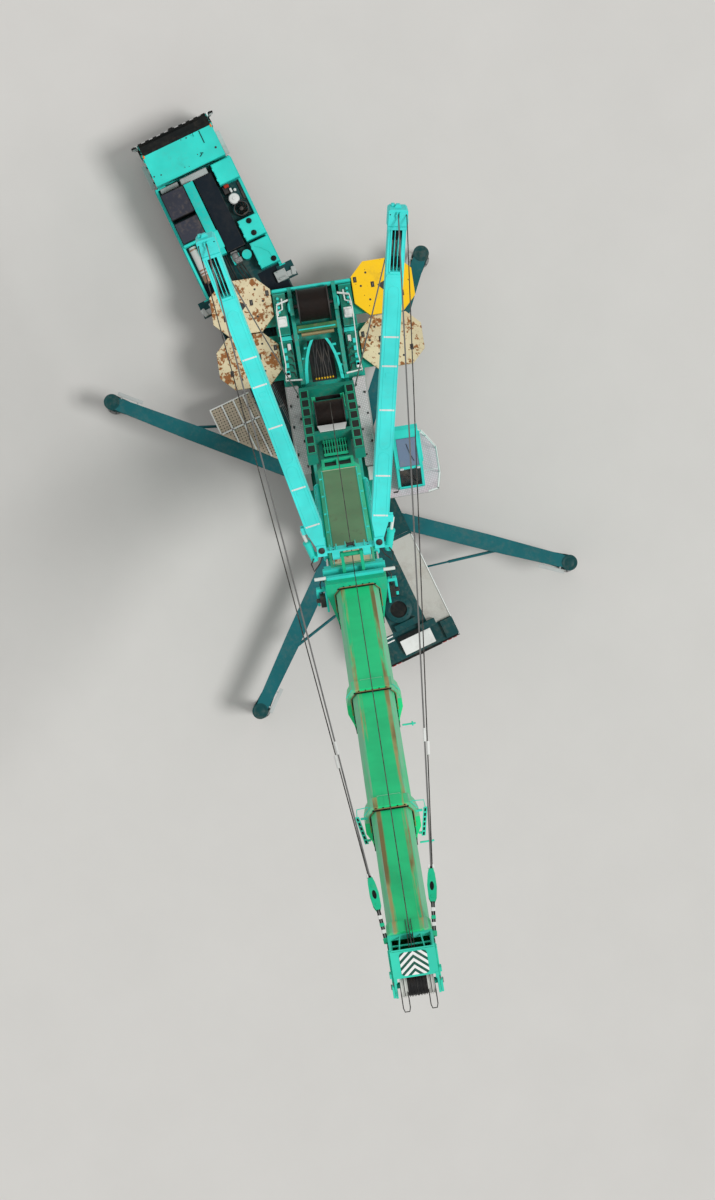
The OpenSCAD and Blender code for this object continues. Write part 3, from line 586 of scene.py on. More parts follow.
class Shader:
    """Builds the nodes of one material."""

    def __init__(self, name: str) -> None:
        """Starts a material that has only its output and one Principled shader."""
        self.material = bpy.data.materials.new(name)
        self.material.use_nodes = True
        self.tree = self.material.node_tree
        self.tree.nodes.clear()
        self.bsdf = self.tree.nodes.new("ShaderNodeBsdfPrincipled")
        self.end = self.tree.nodes.new("ShaderNodeOutputMaterial")
        self.tree.links.new(self.bsdf.outputs[0], self.end.inputs[0])

    def node(self, kind: str, settings: dict, inputs: dict, output: "int | str" = 0) -> Socket:
        """Adds a node.

        Args:
            kind: the node's type.
            settings: its settings, set first.
            inputs: values or sockets, by input name or number.
            output: which output to give back.

        Returns:
            That output.
        """
        new = self.tree.nodes.new(kind)
        for key, value in settings.items():
            setattr(new, key, value)
        for key, value in inputs.items():
            self.feed(new.inputs[key], value)
        return Socket(self, new.outputs[output])

    def feed(self, target: bpy.types.NodeSocket, value: "Value | tuple") -> None:
        """Links a socket, or sets a number or colour, on an input."""
        if isinstance(value, Socket):
            self.tree.links.new(value.out, target)
        elif isinstance(value, tuple) and target.type == "RGBA":
            target.default_value = (*value[:3], 1.0)
        else:
            target.default_value = value

    def set(self, name: str, value: "Value | tuple") -> None:
        """Feeds an input of the Principled shader."""
        self.feed(self.bsdf.inputs[name], value)

    def mix(self, factor: Value, a: "Socket | tuple", b: "Socket | tuple") -> Socket:
        """Mixes two colours, from a at factor 0 to b at factor 1."""
        return self.node("ShaderNodeMix", {"data_type": "RGBA"}, {0: factor, 6: a, 7: b}, 2)

    def where(self) -> Socket:
        """The point on the object."""
        return self.node("ShaderNodeTexCoord", {}, {}, "Object")

    def along(self, frame: Frame, index: int) -> Socket:
        """The point's coordinate along one of a frame's axes: its dot product with that axis."""
        axis = frame.axis(index)
        dot = self.node("ShaderNodeVectorMath", {"operation": "DOT_PRODUCT"}, {0: self.where(), 1: axis},
                        "Value")
        return dot - float(np.dot(axis, frame.origin))

    def up(self) -> Socket:
        """How far the surface faces up, from -1 to 1."""
        normal = self.node("ShaderNodeNewGeometry", {}, {}, "Normal")
        return self.node("ShaderNodeSeparateXYZ", {}, {0: normal}, 2)

    def noise(self, scale: float, detail: float = 4.0, frame: Frame | None = None,
              stretch: tuple = (1.0, 1.0, 1.0)) -> Socket:
        """Noise from 0 to 1 round 0.5.

        Args:
            scale: patches in a metre.
            detail: octaves.
            frame: a frame along whose axes it is stretched.
            stretch: the scale's factor along each of those axes.

        Returns:
            The noise.
        """
        point = self.where()
        if frame is not None:
            parts = {i: self.along(frame, i) * stretch[i] for i in range(3)}
            point = self.node("ShaderNodeCombineXYZ", {}, parts)
        return self.node("ShaderNodeTexNoise", {}, {"Vector": point, "Scale": scale, "Detail": detail,
            "Roughness": 0.6})

    def bump(self, height: Socket, strength: float, distance: float = 0.01) -> None:
        """Feeds the normal from a height."""
        inputs = {"Height": height, "Strength": strength, "Distance": distance}
        self.set("Normal", self.node("ShaderNodeBump", {}, inputs))


# Finishes


def rgb(red: int, green: int, blue: int) -> tuple[float, float, float]:
    """Turns a screen colour, 0 to 255, into the linear one that a shader takes."""
    return tuple(float(((v / 255 + 0.055) / 1.055) ** 2.4) if v > 10 else v / 3294.6
                 for v in (red, green, blue))


def tone(colour: tuple, by: float) -> tuple[float, float, float]:
    """Makes a colour lighter or darker."""
    return tuple(min(1.0, v * by) for v in colour)


DUST = rgb(150, 132, 112)
RUST = rgb(116, 62, 34)
GRIME = rgb(42, 38, 36)
DULL_SPECULAR = 0.15


@dataclass(frozen=True)
class Finish:
    """Painted sheet metal: faded in large patches, dusty on top, grimy and chipped in small ones."""

    name: str
    slot: str
    colour: tuple
    roughness: float = 0.42
    metallic: float = 0.0
    dust: float = 0.16
    grime: float = 0.22
    chips: float = 0.15
    bare: tuple = RUST

    def material(self) -> bpy.types.Material:
        """Gives the finish's material, made the first time."""
        known = bpy.data.materials.get(self.name)
        if known is not None:
            return known
        shader = Shader(self.name)
        self.build(shader)
        return shader.material

    def ground(self, s: Shader) -> "Socket | tuple":
        """The colour before dust and wear."""
        return s.mix(s.noise(0.5, 3.0).ramp(0.35, 0.65), tone(self.colour, 0.86), tone(self.colour, 1.04))

    def build(self, s: Shader) -> None:
        """Adds the nodes: colour, then dust on upward faces, grime in patches and chips."""
        fine, coarse = s.noise(7.0, 6.0), s.noise(1.3, 5.0)
        dust = (fine * 0.5 + coarse * 0.5).ramp(0.45, 0.68) * s.up().ramp(0.2, 0.95) * self.dust
        grime = (coarse * 0.7 + fine * 0.3).ramp(0.56, 0.74) * self.grime
        chips = s.noise(16.0, 5.0).ramp(0.66, 0.70) * self.chips
        colour = s.mix(chips, s.mix(grime, s.mix(dust, self.ground(s), DUST), GRIME), self.bare)
        s.set("Base Color", colour)
        s.set("Roughness", (dust * 0.4 + grime * 0.3 + self.roughness).math("MINIMUM", 0.95))
        s.set("Metallic", self.metallic)
        s.set("Specular IOR Level", DULL_SPECULAR)
        s.bump(s.noise(30.0, 3.0) * 0.3 + fine, 0.12, 0.006)


@dataclass(frozen=True)
class Regions(Finish):
    """Paint whose colour changes inside boxes of a frame; each row is low, high and a colour."""

    frame: Frame = GROUND
    boxes: tuple = ()

    def ground(self, s: Shader) -> Socket:
        """The paint's colour, changed inside each box in turn."""
        colour = super().ground(s)
        axes = [s.along(self.frame, i) for i in range(3)]
        patch = s.noise(0.9, 3.0).ramp(0.3, 0.7)
        for low, high, inside in self.boxes:
            mask: "Socket | float" = 1.0
            for i in range(3):
                if low[i] is not None:
                    mask = axes[i].over(low[i]) * mask
                if high[i] is not None:
                    mask = axes[i].under(high[i]) * mask
            colour = s.mix(mask, colour, s.mix(patch, tone(inside, 0.85), inside))
        return colour


@dataclass(frozen=True)
class BoomPaint(Finish):
    """Boom paint, worn to dull beige along the edges that the pads rub, with streaks along it."""

    half: float = 0.6
    top: float = RISE + 0.7

    def ground(self, s: Shader) -> Socket:
        """Faded green: greyed on the upper corners, with a narrow rusty band where each one begins."""
        base = super().ground(s)
        across, height = s.along(BOOM, 1), s.along(BOOM, 2)
        side, upper = across.size(), height.over(self.top - 0.42)
        streak = s.noise(1.0, 5.0, BOOM, (0.35, 9.0, 9.0))
        patch = s.noise(0.35, 4.0, BOOM, (0.6, 2.0, 2.0))
        corner = side.over(self.half - 0.19) * upper
        grey = corner * (streak.ramp(0.40, 0.56) * 0.45 + 0.25)
        band = side.ramp(self.half - 0.30, self.half - 0.25) * side.under(self.half - 0.15) * upper
        rust = band * (streak * 0.5 + patch * 0.5).ramp(0.43, 0.53) * 0.9
        oil = streak.ramp(0.62, 0.74) * 0.25
        colour = s.mix(grey, s.mix(oil, base, tone(self.colour, 0.5)), rgb(150, 186, 166))
        return s.mix(rust, colour, s.mix(patch.ramp(0.45, 0.6), rgb(190, 164, 108), rgb(140, 100, 58)))


@dataclass(frozen=True)
class Slab(Finish):
    """Cast ballast: paint that has flaked off in rusty patches, with darker holes in them."""

    flaked: float = 0.518

    def ground(self, s: Shader) -> Socket:
        """Paint with rust where slow noise is high and pits where fast noise is."""
        base = super().ground(s)
        rusty = s.along(UPPER, 0).over(-5.66) * s.along(UPPER, 1).under(0.0) * 0.025
        spots = s.noise(2.6, 6.0) * 0.5 + s.noise(8.0, 5.0) * 0.5 + rusty
        flakes = spots.ramp(self.flaked, self.flaked + 0.05)
        pits = s.noise(11.0, 5.0).ramp(0.62, 0.68)
        return s.mix(pits * flakes, s.mix(flakes, base, rgb(150, 96, 52)), rgb(72, 44, 30))


@dataclass(frozen=True)
class BallastPaint(Slab):
    """The four slabs in one finish: cream, but amber on the crane's left rear one."""

    amber: tuple = rgb(255, 204, 30)

    def ground(self, s: Shader) -> Socket:
        """Flaky cream everywhere but on the amber slab, whose paint is newer and only speckled."""
        cream = super().ground(s)
        fresh = s.mix(s.noise(9.0, 5.0).ramp(0.66, 0.70), self.amber, rgb(96, 66, 30))
        here = s.along(UPPER, 0).under(-5.66) * s.along(UPPER, 1).over(0.0)
        return s.mix(here, cream, fresh)


@dataclass(frozen=True)
class Steel(Finish):
    """Bare or plated steel with fine scratches along a frame's axes."""

    def build(self, s: Shader) -> None:
        """Adds the nodes: a metal whose roughness follows long thin scratches."""
        scratch = s.noise(5.0, 5.0, GROUND, (1.0, 1.0, 9.0))
        stain = s.noise(1.7, 5.0).ramp(0.55, 0.75) * self.grime
        s.set("Base Color", s.mix(stain, s.mix(scratch, tone(self.colour, 0.8), self.colour), GRIME))
        s.set("Metallic", self.metallic)
        s.set("Roughness", scratch * 0.25 + self.roughness)
        s.bump(scratch, 0.08, 0.004)


@dataclass(frozen=True)
class Rubber(Finish):
    """Tyre or hose rubber, dusty in soft patches."""

    def build(self, s: Shader) -> None:
        """Adds the nodes: near black, with dust in soft patches and a fine grain."""
        dust = s.noise(2.2, 5.0).ramp(0.42, 0.7) * self.dust
        s.set("Base Color", s.mix(dust, self.colour, rgb(112, 98, 84)))
        s.set("Roughness", dust * 0.15 + self.roughness)
        s.bump(s.noise(60.0, 3.0), 0.2, 0.003)


@dataclass(frozen=True)
class NonSlip(Finish):
    """Plate with raised grains or lozenges: a lattice of small bumps, worn smooth in places."""

    pitch: float = 0.035
    frame: Frame = GROUND
    hollow: float = 0.78

    def build(self, s: Shader) -> None:
        """Adds the nodes: the product of two crossed waves is the height of the lozenges."""
        a, b = s.along(self.frame, 0), s.along(self.frame, 1)
        lattice = (a + b).wave(self.pitch) * (a - b).wave(self.pitch)
        worn = s.noise(1.1, 5.0)
        dirt = (worn * 0.6 + s.noise(6.0, 5.0) * 0.4).ramp(0.46, 0.66) * self.dust
        base = s.mix(lattice.ramp(0.15, 0.5), tone(self.colour, self.hollow), self.colour)
        grime = s.noise(0.8, 6.0).ramp(0.55, 0.7) * self.grime
        s.set("Base Color", s.mix(grime, s.mix(dirt, base, DUST), GRIME))
        s.set("Roughness", dirt * 0.3 + self.roughness)
        s.set("Specular IOR Level", DULL_SPECULAR)
        s.bump(lattice * worn, 0.5, 0.004)


@dataclass(frozen=True)
class Glass(Finish):
    """Tinted pane with a dusty film, seen through in part."""

    opacity: float = 0.62

    def build(self, s: Shader) -> None:
        """Adds the nodes: a dark glossy coat whose dust adds cover."""
        dust = s.noise(2.5, 5.0).ramp(0.45, 0.75) * self.dust
        s.set("Base Color", s.mix(dust, self.colour, DUST))
        s.set("Roughness", dust * 0.4 + self.roughness)
        s.set("Alpha", dust * 0.3 + self.opacity)
        s.set("IOR", 1.5)


@dataclass(frozen=True)
class Rope(Finish):
    """Steel wire rope: slanting strands, dark with grease."""

    pitch: float = 0.07

    def build(self, s: Shader) -> None:
        """Adds the nodes: a slanted wave over the point's coordinates stands for the strands."""
        strands = (s.along(BOOM, 0) + s.along(BOOM, 1) * 3.0 + s.along(BOOM, 2) * 3.0).wave(self.pitch)
        grease = s.noise(3.0, 4.0).ramp(0.4, 0.65) * self.grime
        s.set("Base Color", s.mix(grease, s.mix(strands, tone(self.colour, 0.4), self.colour), GRIME))
        s.set("Metallic", self.metallic)
        s.set("Roughness", self.roughness)
        s.bump(strands, 0.5, 0.004)


@dataclass(frozen=True)
class Chevrons(Finish):
    """Plain warning board: slanted white and dark stripes that meet at its middle line."""

    frame: Frame = BOOM
    across: int = 1
    rise: int = 0
    pitch: float = 0.34
    second: tuple = (0.9, 0.9, 0.88)

    def ground(self, s: Shader) -> Socket:
        """Stripes: the wave of height along the board plus distance from its middle line."""
        slope = s.along(self.frame, self.rise) + s.along(self.frame, self.across).size()
        return s.mix(slope.wave(self.pitch).over(0.5), self.colour, self.second)


@dataclass(frozen=True)
class Lamp(Finish):
    """Moulded lens, ribbed inside, in clear, orange or red."""

    def build(self, s: Shader) -> None:
        """Adds the nodes: fine upright ribs under a glossy skin."""
        ribs = (s.along(GROUND, 0) + s.along(GROUND, 1)).wave(0.02)
        dirt = s.noise(5.0, 4.0).ramp(0.5, 0.75) * self.dust
        s.set("Base Color", s.mix(dirt, s.mix(ribs, tone(self.colour, 0.75), self.colour), DUST))
        s.set("Roughness", dirt * 0.3 + self.roughness)
        s.set("Coat Weight", 0.5)
        s.bump(ribs, 0.3, 0.003)


TURQUOISE_RGB = rgb(34, 208, 196)
TURQUOISE = Finish("turquoise_panels", "turquoise_paint", rgb(56, 222, 208), roughness=0.5, dust=0.05)
TURQUOISE_WORN = Finish("turquoise_worn", "turquoise_paint", rgb(28, 168, 148), dust=0.3, grime=0.6,
    chips=0.4)
SEA_GREEN = Finish("mast_turquoise", "turquoise_paint", rgb(78, 236, 230), dust=0.06, grime=0.10,
    chips=0.06)
HEAD_GREEN = Finish("head_green", "turquoise_paint", rgb(64, 220, 190), grime=0.25, dust=0.05)
DARK_GREEN = Finish("dark_green", "turquoise_paint", rgb(22, 128, 108), grime=0.4, dust=0.2)
GREEN = Finish("boom_green", "green_paint", rgb(34, 196, 146), grime=0.3)
TEAL = Finish("outrigger_teal", "teal_paint", rgb(22, 100, 106), dust=0.12, chips=0.1)
TEAL_DARK = Finish("teal_dark", "teal_paint", rgb(16, 70, 72), dust=0.18, grime=0.4)
BLACK = Finish("black_panels", "black_paint", rgb(20, 24, 24), roughness=0.4, dust=0.08, grime=0.2)
GREY = Finish("grey_panels", "grey_paint", rgb(190, 194, 192), dust=0.15)
WHITE = Finish("white_panels", "grey_paint", rgb(232, 234, 230), dust=0.1, grime=0.2)
CREAM_PLATE = Finish("cream_plate", "slab_paint", rgb(214, 204, 178), dust=0.4)
HOSE = Rubber("hose_rubber", "black_paint", rgb(26, 26, 27), roughness=0.55, dust=0.3)
CHROME = Steel("cylinder_chrome", "bright_steel", rgb(216, 218, 220), roughness=0.12, metallic=1.0,
               grime=0.15)
STEEL = Steel("worn_steel", "bright_steel", rgb(150, 150, 148), roughness=0.4, metallic=0.9, grime=0.5)
DARK_STEEL = Steel("dark_steel", "black_paint", rgb(78, 76, 74), roughness=0.5, metallic=0.8, grime=0.6)
ROPE = Rope("wire_rope", "bright_steel", rgb(112, 110, 106), roughness=0.5, metallic=0.8, grime=0.8)
BROWN_ROPE = Rope("brown_rope", "bright_steel", rgb(58, 45, 39), roughness=0.45, metallic=0.6, grime=0.6)
SILVER = Finish("sheave_silver", "bright_steel", rgb(206, 208, 202), roughness=0.35, dust=0.05, grime=0.3)
BROWN_LINE = Finish("brown_line", "slab_paint", rgb(150, 126, 84), grime=0.5)
WELD = Finish("weld_line", "green_paint", rgb(150, 232, 190), grime=0.1)
# The roof pane's pale blue is a painted reflection of the sky.
SKY_REFLECTION_GLASS = Glass("roof_glass", "black_paint", rgb(120, 138, 166), roughness=0.08, dust=0.2, opacity=0.85)
GLASS = Glass("cab_glass", "black_paint", rgb(26, 36, 40), roughness=0.06, dust=0.35)
DECK = NonSlip("deck_nonslip", "deck_paint", rgb(206, 204, 196), roughness=0.8, dust=0.25, grime=0.3)
SPECKLED = NonSlip("walkway_speckled", "grey_paint", rgb(214, 208, 208), roughness=0.7, dust=0.15,
    grime=0.5, pitch=0.11, hollow=0.76)
PLATFORM_GREY = NonSlip("platform_grey", "grey_paint", rgb(220, 204, 210), roughness=0.7, dust=0.1,
    grime=0.3, pitch=0.11, hollow=0.8)
BLACK_WALK = NonSlip("walkway_black", "black_paint", rgb(18, 30, 40), roughness=0.6, dust=0.03, grime=0.1)
SAND = Finish("sand_plate", "deck_paint", rgb(206, 190, 168), roughness=0.6, dust=0.3, grime=0.3)
ORANGE_LAMP = Lamp("orange_lens", "slab_paint", rgb(255, 120, 20), roughness=0.15, dust=0.2)
CLEAR_LAMP = Lamp("clear_lens", "bright_steel", rgb(214, 220, 224), roughness=0.1, dust=0.2)
RED_LAMP = Lamp("red_lens", "slab_paint", rgb(190, 20, 16), roughness=0.15, dust=0.2)
SEAT = Rubber("seat_cloth", "black_paint", rgb(56, 58, 64), roughness=0.9, dust=0.2)


# Finishes of the CAD nodes


def node_finish(name: str) -> Finish:
    """Gives the finish of a CAD node.

    Args:
        name: the node's name.

    Returns:
        Its finish.
    """
    if name.startswith("wheel_"):
        return WHEEL_FINISH
    if name.startswith("boom_section"):
        index = int(name[-1])
        width, depth = SECTION_SIZES[index]
        return BoomPaint(f"boom_green_{index}", "green_paint", rgb(40, 220, 142), grime=0.12, dust=0.05,
            half=width / 2, top=RISE + depth / 2)
    if name.startswith("outrigger_"):
        return TEAL
    if name.startswith("jack_"):
        return STEEL
    if name.startswith("knuckle_"):
        return DARK_STEEL
    return NODE_FINISHES[name]


WHEEL_FINISH = Rubber("wheel_body", "tyre", rgb(34, 33, 33), roughness=0.82, dust=0.75)
NODE_FINISHES = {
    "chassis": TEAL_DARK,
    "deck": Regions("deck_paint_regions", "deck_paint", rgb(20, 74, 76), dust=0.2, boxes=(
        ((7.9, 1.38, 1.0), (12.3, 1.6, 2.4), TURQUOISE_RGB),
        ((7.9, -1.6, 1.0), (12.3, -1.38, 2.4), TURQUOISE_RGB),
    )),
    "carrier_cab": TURQUOISE,
    "engine": DARK_STEEL,
    "power_pack": Regions("power_pack_regions", "turquoise_paint", TURQUOISE_RGB, boxes=(
        ((9.95, 0.49, 2.2), (12.0, 1.42, 3.2), rgb(30, 31, 34)),
        ((9.0, -0.61, 2.2), (12.0, 0.09, 3.2), rgb(28, 36, 42)),
        ((8.5, 0.9, 2.2), (9.93, 1.4, 2.7), rgb(206, 206, 202)),
    )),
    "axles": DARK_STEEL,
    "end_fittings": BLACK,
    "swing_cylinders": TEAL,
    "cab_door_left": TURQUOISE,
    "cab_door_right": TURQUOISE,
    "side_platform": SAND,
    "turntable": TURQUOISE_WORN,
    "upper_fittings": Regions("upper_regions", "grey_paint", rgb(176, 178, 174), frame=UPPER, boxes=(
        ((-7.2, -1.6, 2.5), (-3.7, 1.6, 3.6), rgb(28, 168, 148)),
    )),
    "ballast": BallastPaint("ballast_paint", "slab_paint", rgb(224, 210, 172), roughness=0.6, dust=0.08,
        grime=0.2),
    "rear_drum": DARK_STEEL,
    "operator_cab": TURQUOISE,
    "operator_door": TURQUOISE,
    "boom_base": Regions("base_regions", "green_paint", rgb(30, 190, 144), frame=BOOM, grime=0.3, boxes=(
        ((0.5, None, 1.28), (6.6, None, None), rgb(26, 140, 118)),
        ((7.0, 0.73, 0.8), (12.7, 0.96, 1.2), TURQUOISE_RGB),
        ((7.0, -0.96, 0.8), (12.7, -0.73, 1.2), TURQUOISE_RGB),
    )),
    "boom_head": HEAD_GREEN,
    "head_sheaves": DARK_STEEL,
    "front_drum": DARK_STEEL,
    "lift_barrel": TURQUOISE,
    "lift_rod": CHROME,
    "mast_frame": SEA_GREEN,
    "mast_left": SEA_GREEN,
    "mast_right": SEA_GREEN,
    "stays": STEEL,
}


# Carrier


@dataclass
class Wheel:
    """A tyre with ribs, shoulder lugs and sidewall rings on a dished rim with its bolts."""

    index: int
    side: int
    bolts: int = 10
    lugs: int = 40
    ribs: tuple = ((-0.118, -0.042), (-0.03, 0.03), (0.042, 0.118))

    @property
    def name(self) -> str:
        """The CAD node and body that this wheel stands for."""
        return f"wheel_{self.index}_{('left' if self.side > 0 else 'right')}"

    def tyre_profile(self) -> tuple[Array, Array]:
        """Radius and height round the tyre's section, and how deep each point is cut between lugs."""
        shoulder = [(RIM_R, -0.165, 0), (0.345, -0.178, 0), (0.39, -0.205, 0), (0.47, -0.2195, 0),
                    (0.5, -0.2195, 0), (0.505, -0.2145, 0), (0.6, -0.2145, 0), (0.605, -0.2195, 0),
                    (0.66, -0.215, 0), (0.69, -0.207, 0.03), (0.735, -0.188, 0.045),
                    (0.743, -0.135, 0.03), (0.722, -0.13, 0)]
        rows = list(shoulder)
        for low, high in self.ribs:
            rows += [(0.722, low - 0.004, 0), (0.744, low, 0), (0.7445, (low + high) / 2, 0.008),
                     (0.744, high, 0)]
            rows += [(0.722, high + 0.004, 0)]
        data = np.array(rows + [(r, -h, c) for r, h, c in shoulder[::-1]])
        return (data[:, :2], data[:, 2])

    def tyre(self) -> Shape:
        """The rubber: the section swept round the axle, cut back between its lugs."""
        profile, cut = self.tyre_profile()
        sides = self.lugs * 2
        a = np.linspace(0, 2 * pi, sides, endpoint=False)
        low = np.arange(sides) % 2
        radius = profile[None, :, 0] - low[:, None] * cut[None, :]
        ring = np.zeros((sides, len(profile), 3))
        ring[..., 0] = np.sin(a)[:, None] * radius
        ring[..., 1] = profile[None, :, 1]
        ring[..., 2] = np.cos(a)[:, None] * radius
        shape = Shape()
        centre = np.array([AXLE_X[self.index - 1], self.side * WHEEL_Y, AXLE_Z])
        shape.add(ring.reshape(-1, 3) + centre, sheet_faces(sides, len(profile), True, True)[:, ::-1])
        return shape

    def rim(self) -> Shape:
        """The rim's barrel and dish, its bolts and the hub's cap, facing outwards."""
        shape = Shape()
        centre = (AXLE_X[self.index - 1], self.side * WHEEL_Y, AXLE_Z)
        flip = self.side < 0
        barrel = [(0.318, -0.165), (0.335, -0.172), (0.335, -0.16), (0.302, -0.15), (0.296, 0.15),
                  (0.335, 0.165), (0.335, 0.178), (0.318, 0.168)]
        dish = [(0.3, 0.02), (0.285, 0.085), (0.2, 0.1), (0.165, 0.125), (0.152, 0.125), (0.15, 0.02)]
        cap = [(0.152, 0.03), (0.152, 0.15), (0.128, 0.165), (0.118, 0.205), (0.1, 0.218), (0.0, 0.22),
               (0.0, 0.03)]
        shape.lathe(barrel, centre, Y, 40, flip)
        shape.lathe(dish, centre, Y, 40, flip)
        shape.lathe(cap, centre, Y, 24, flip)
        for x, z in around(self.bolts, 0.225, pi / self.bolts):
            spot = (centre[0] + x, centre[1], centre[2] + z)
            shape.lathe([(0.0, 0.09), (0.0, 0.118), (0.011, 0.118), (0.017, 0.112), (0.017, 0.09)], spot,
                        Y, 6, flip)
        return shape

    def build(self) -> None:
        """Makes the tyre and the rim."""
        tyre = place(f"tyre_{self.name[6:]}", self.tyre(), self.name, WHEEL_FINISH, smooth=28.0)
        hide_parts(self.name)
        place(f"rim_{self.name[6:]}", self.rim(), self.name, GREY)


@dataclass
class RunningGear:
    """All eighteen wheels."""

    def build(self) -> None:
        """Makes every wheel."""
        for index in range(1, len(AXLE_X) + 1):
            for side in (1, -1):
                Wheel(index, side).build()


@dataclass
class Outriggers:
    """Swing-out beams' weld plates, jack heads and bolts, and the feet's ribs."""

    cap_bolts: int = 12

    def beam(self, beam: Beam) -> Shape:
        """Reinforcing flanges along a beam, the ribs on its sides and its pivot's collar."""
        length = beam.length
        shape = Shape(beam.frame)
        for top in (BEAM_BOTTOM - 0.012, BEAM_TOP - 0.004):
            outline = [(0.34, -0.285), (length - 3.0, -0.285), (length - 0.7, -0.232),
                       (length - 0.3, -0.232)]
            outline += [(x, -y) for x, y in outline[::-1]]
            shape.plate(outline, top, top + 0.016)
        for x in np.arange(1.2, length - 1.0, 1.15):
            half = 0.278 if x < length - 3.0 else 0.278 - 0.053 * (x - length + 3.0) / 2.3
            for y in (-half, half):
                shape.box((x, y - 0.006, BEAM_BOTTOM + 0.02), (x + 0.06, y + 0.006, BEAM_TOP - 0.01), 0.003)
        shape.lathe([(0.18, 0), (0.23, 0), (0.23, 0.012), (0.215, 0.014), (0.18, 0.014)],
                    (0, 0, BEAM_TOP), Z, 32)
        return shape

    def head(self, beam: Beam) -> Shape:
        """The jack's flat head, low enough to fold in under the deck, its bolts and the jack's rings."""
        length = beam.length
        shape = Shape(beam.frame)
        top = BEAM_TOP
        cover = [(0.0, -0.01), (0.285, -0.01), (0.285, 0.002), (0.262, 0.0035), (0.21, 0.0035),
                 (0.205, 0.0015), (0.15, 0.0015), (0.145, 0.0035), (0.0, 0.004)]
        shape.lathe(cover, (length, 0, top), Z, 40)
        for x, y in around(self.cap_bolts, 0.236):
            shape.disc(0.016, 0.004, 0.005, (length + x, y, top - 0.001), Z, 6)
        for low, high in ((0.62, 0.66), (1.02, 1.05), (1.4, 1.44)):
            shape.ring(0.19, 0.225, low, high, (length, 0, 0), Z, 40)
        for side in SIDES:
            wing = [(-0.62, 0.16), (-0.62, 0.24), (0.02, 0.285), (0.02, 0.16)]
            shape.plate([(length + x, y * side) for x, y in wing], BEAM_TOP - 0.3, BEAM_TOP - 0.26)
        return shape

    def foot(self, beam: Beam) -> Shape:
        """The foot's ribs and its ball joint's collar."""
        shape = Shape(beam.frame)
        centre = (beam.length, 0, 0)
        shape.lathe([(0.15, 0.09), (0.245, 0.09), (0.235, 0.118), (0.2, 0.134), (0.15, 0.136)], centre, Z,
                    36)
        for angle in np.arange(22.5, 360.0, 45.0):
            turn = turn_about(Z, angle)
            spot = turn @ np.array([0.27, 0, 0]) + np.array([beam.length, 0, 0.115])
            shape.box(tuple(spot - [0.06, 0.01, 0.018]), tuple(spot + [0.06, 0.01, 0.018]), 0.004, turn)
        return shape

    def strip(self, beam: Beam) -> Shape:
        """The pale step plate beside the jack, with its two brackets."""
        shape = Shape(beam.frame)
        out = -beam.side * beam.fore
        y = 0.3 * out
        x = beam.length - 1.05
        shape.box((x, y, BEAM_TOP - 0.1), (x + 0.95, y + 0.13 * out, BEAM_TOP - 0.075), 0.006)
        for k in (0.15, 0.75):
            shape.box((x + k, y - 0.09 * out, BEAM_TOP - 0.13),
                      (x + k + 0.05, y + 0.02 * out, BEAM_TOP - 0.09), 0.004)
        return shape

    def build(self) -> None:
        """Dresses the four beams and their jacks."""
        for beam in BEAMS:
            body = f"beam_{beam.name}"
            place(f"beam_flanges_{beam.name}", self.beam(beam), body, TEAL)
            # The head takes the darker teal as painted shade, standing in for the shading of its dome,
            # which is flattened here.
            place(f"jack_head_{beam.name}", self.head(beam), body, TEAL_DARK)
            place(f"step_plate_{beam.name}", self.strip(beam), body, GREY)
            place(f"foot_ribs_{beam.name}", self.foot(beam), f"leg_{beam.name}", DARK_STEEL, "bright_steel")


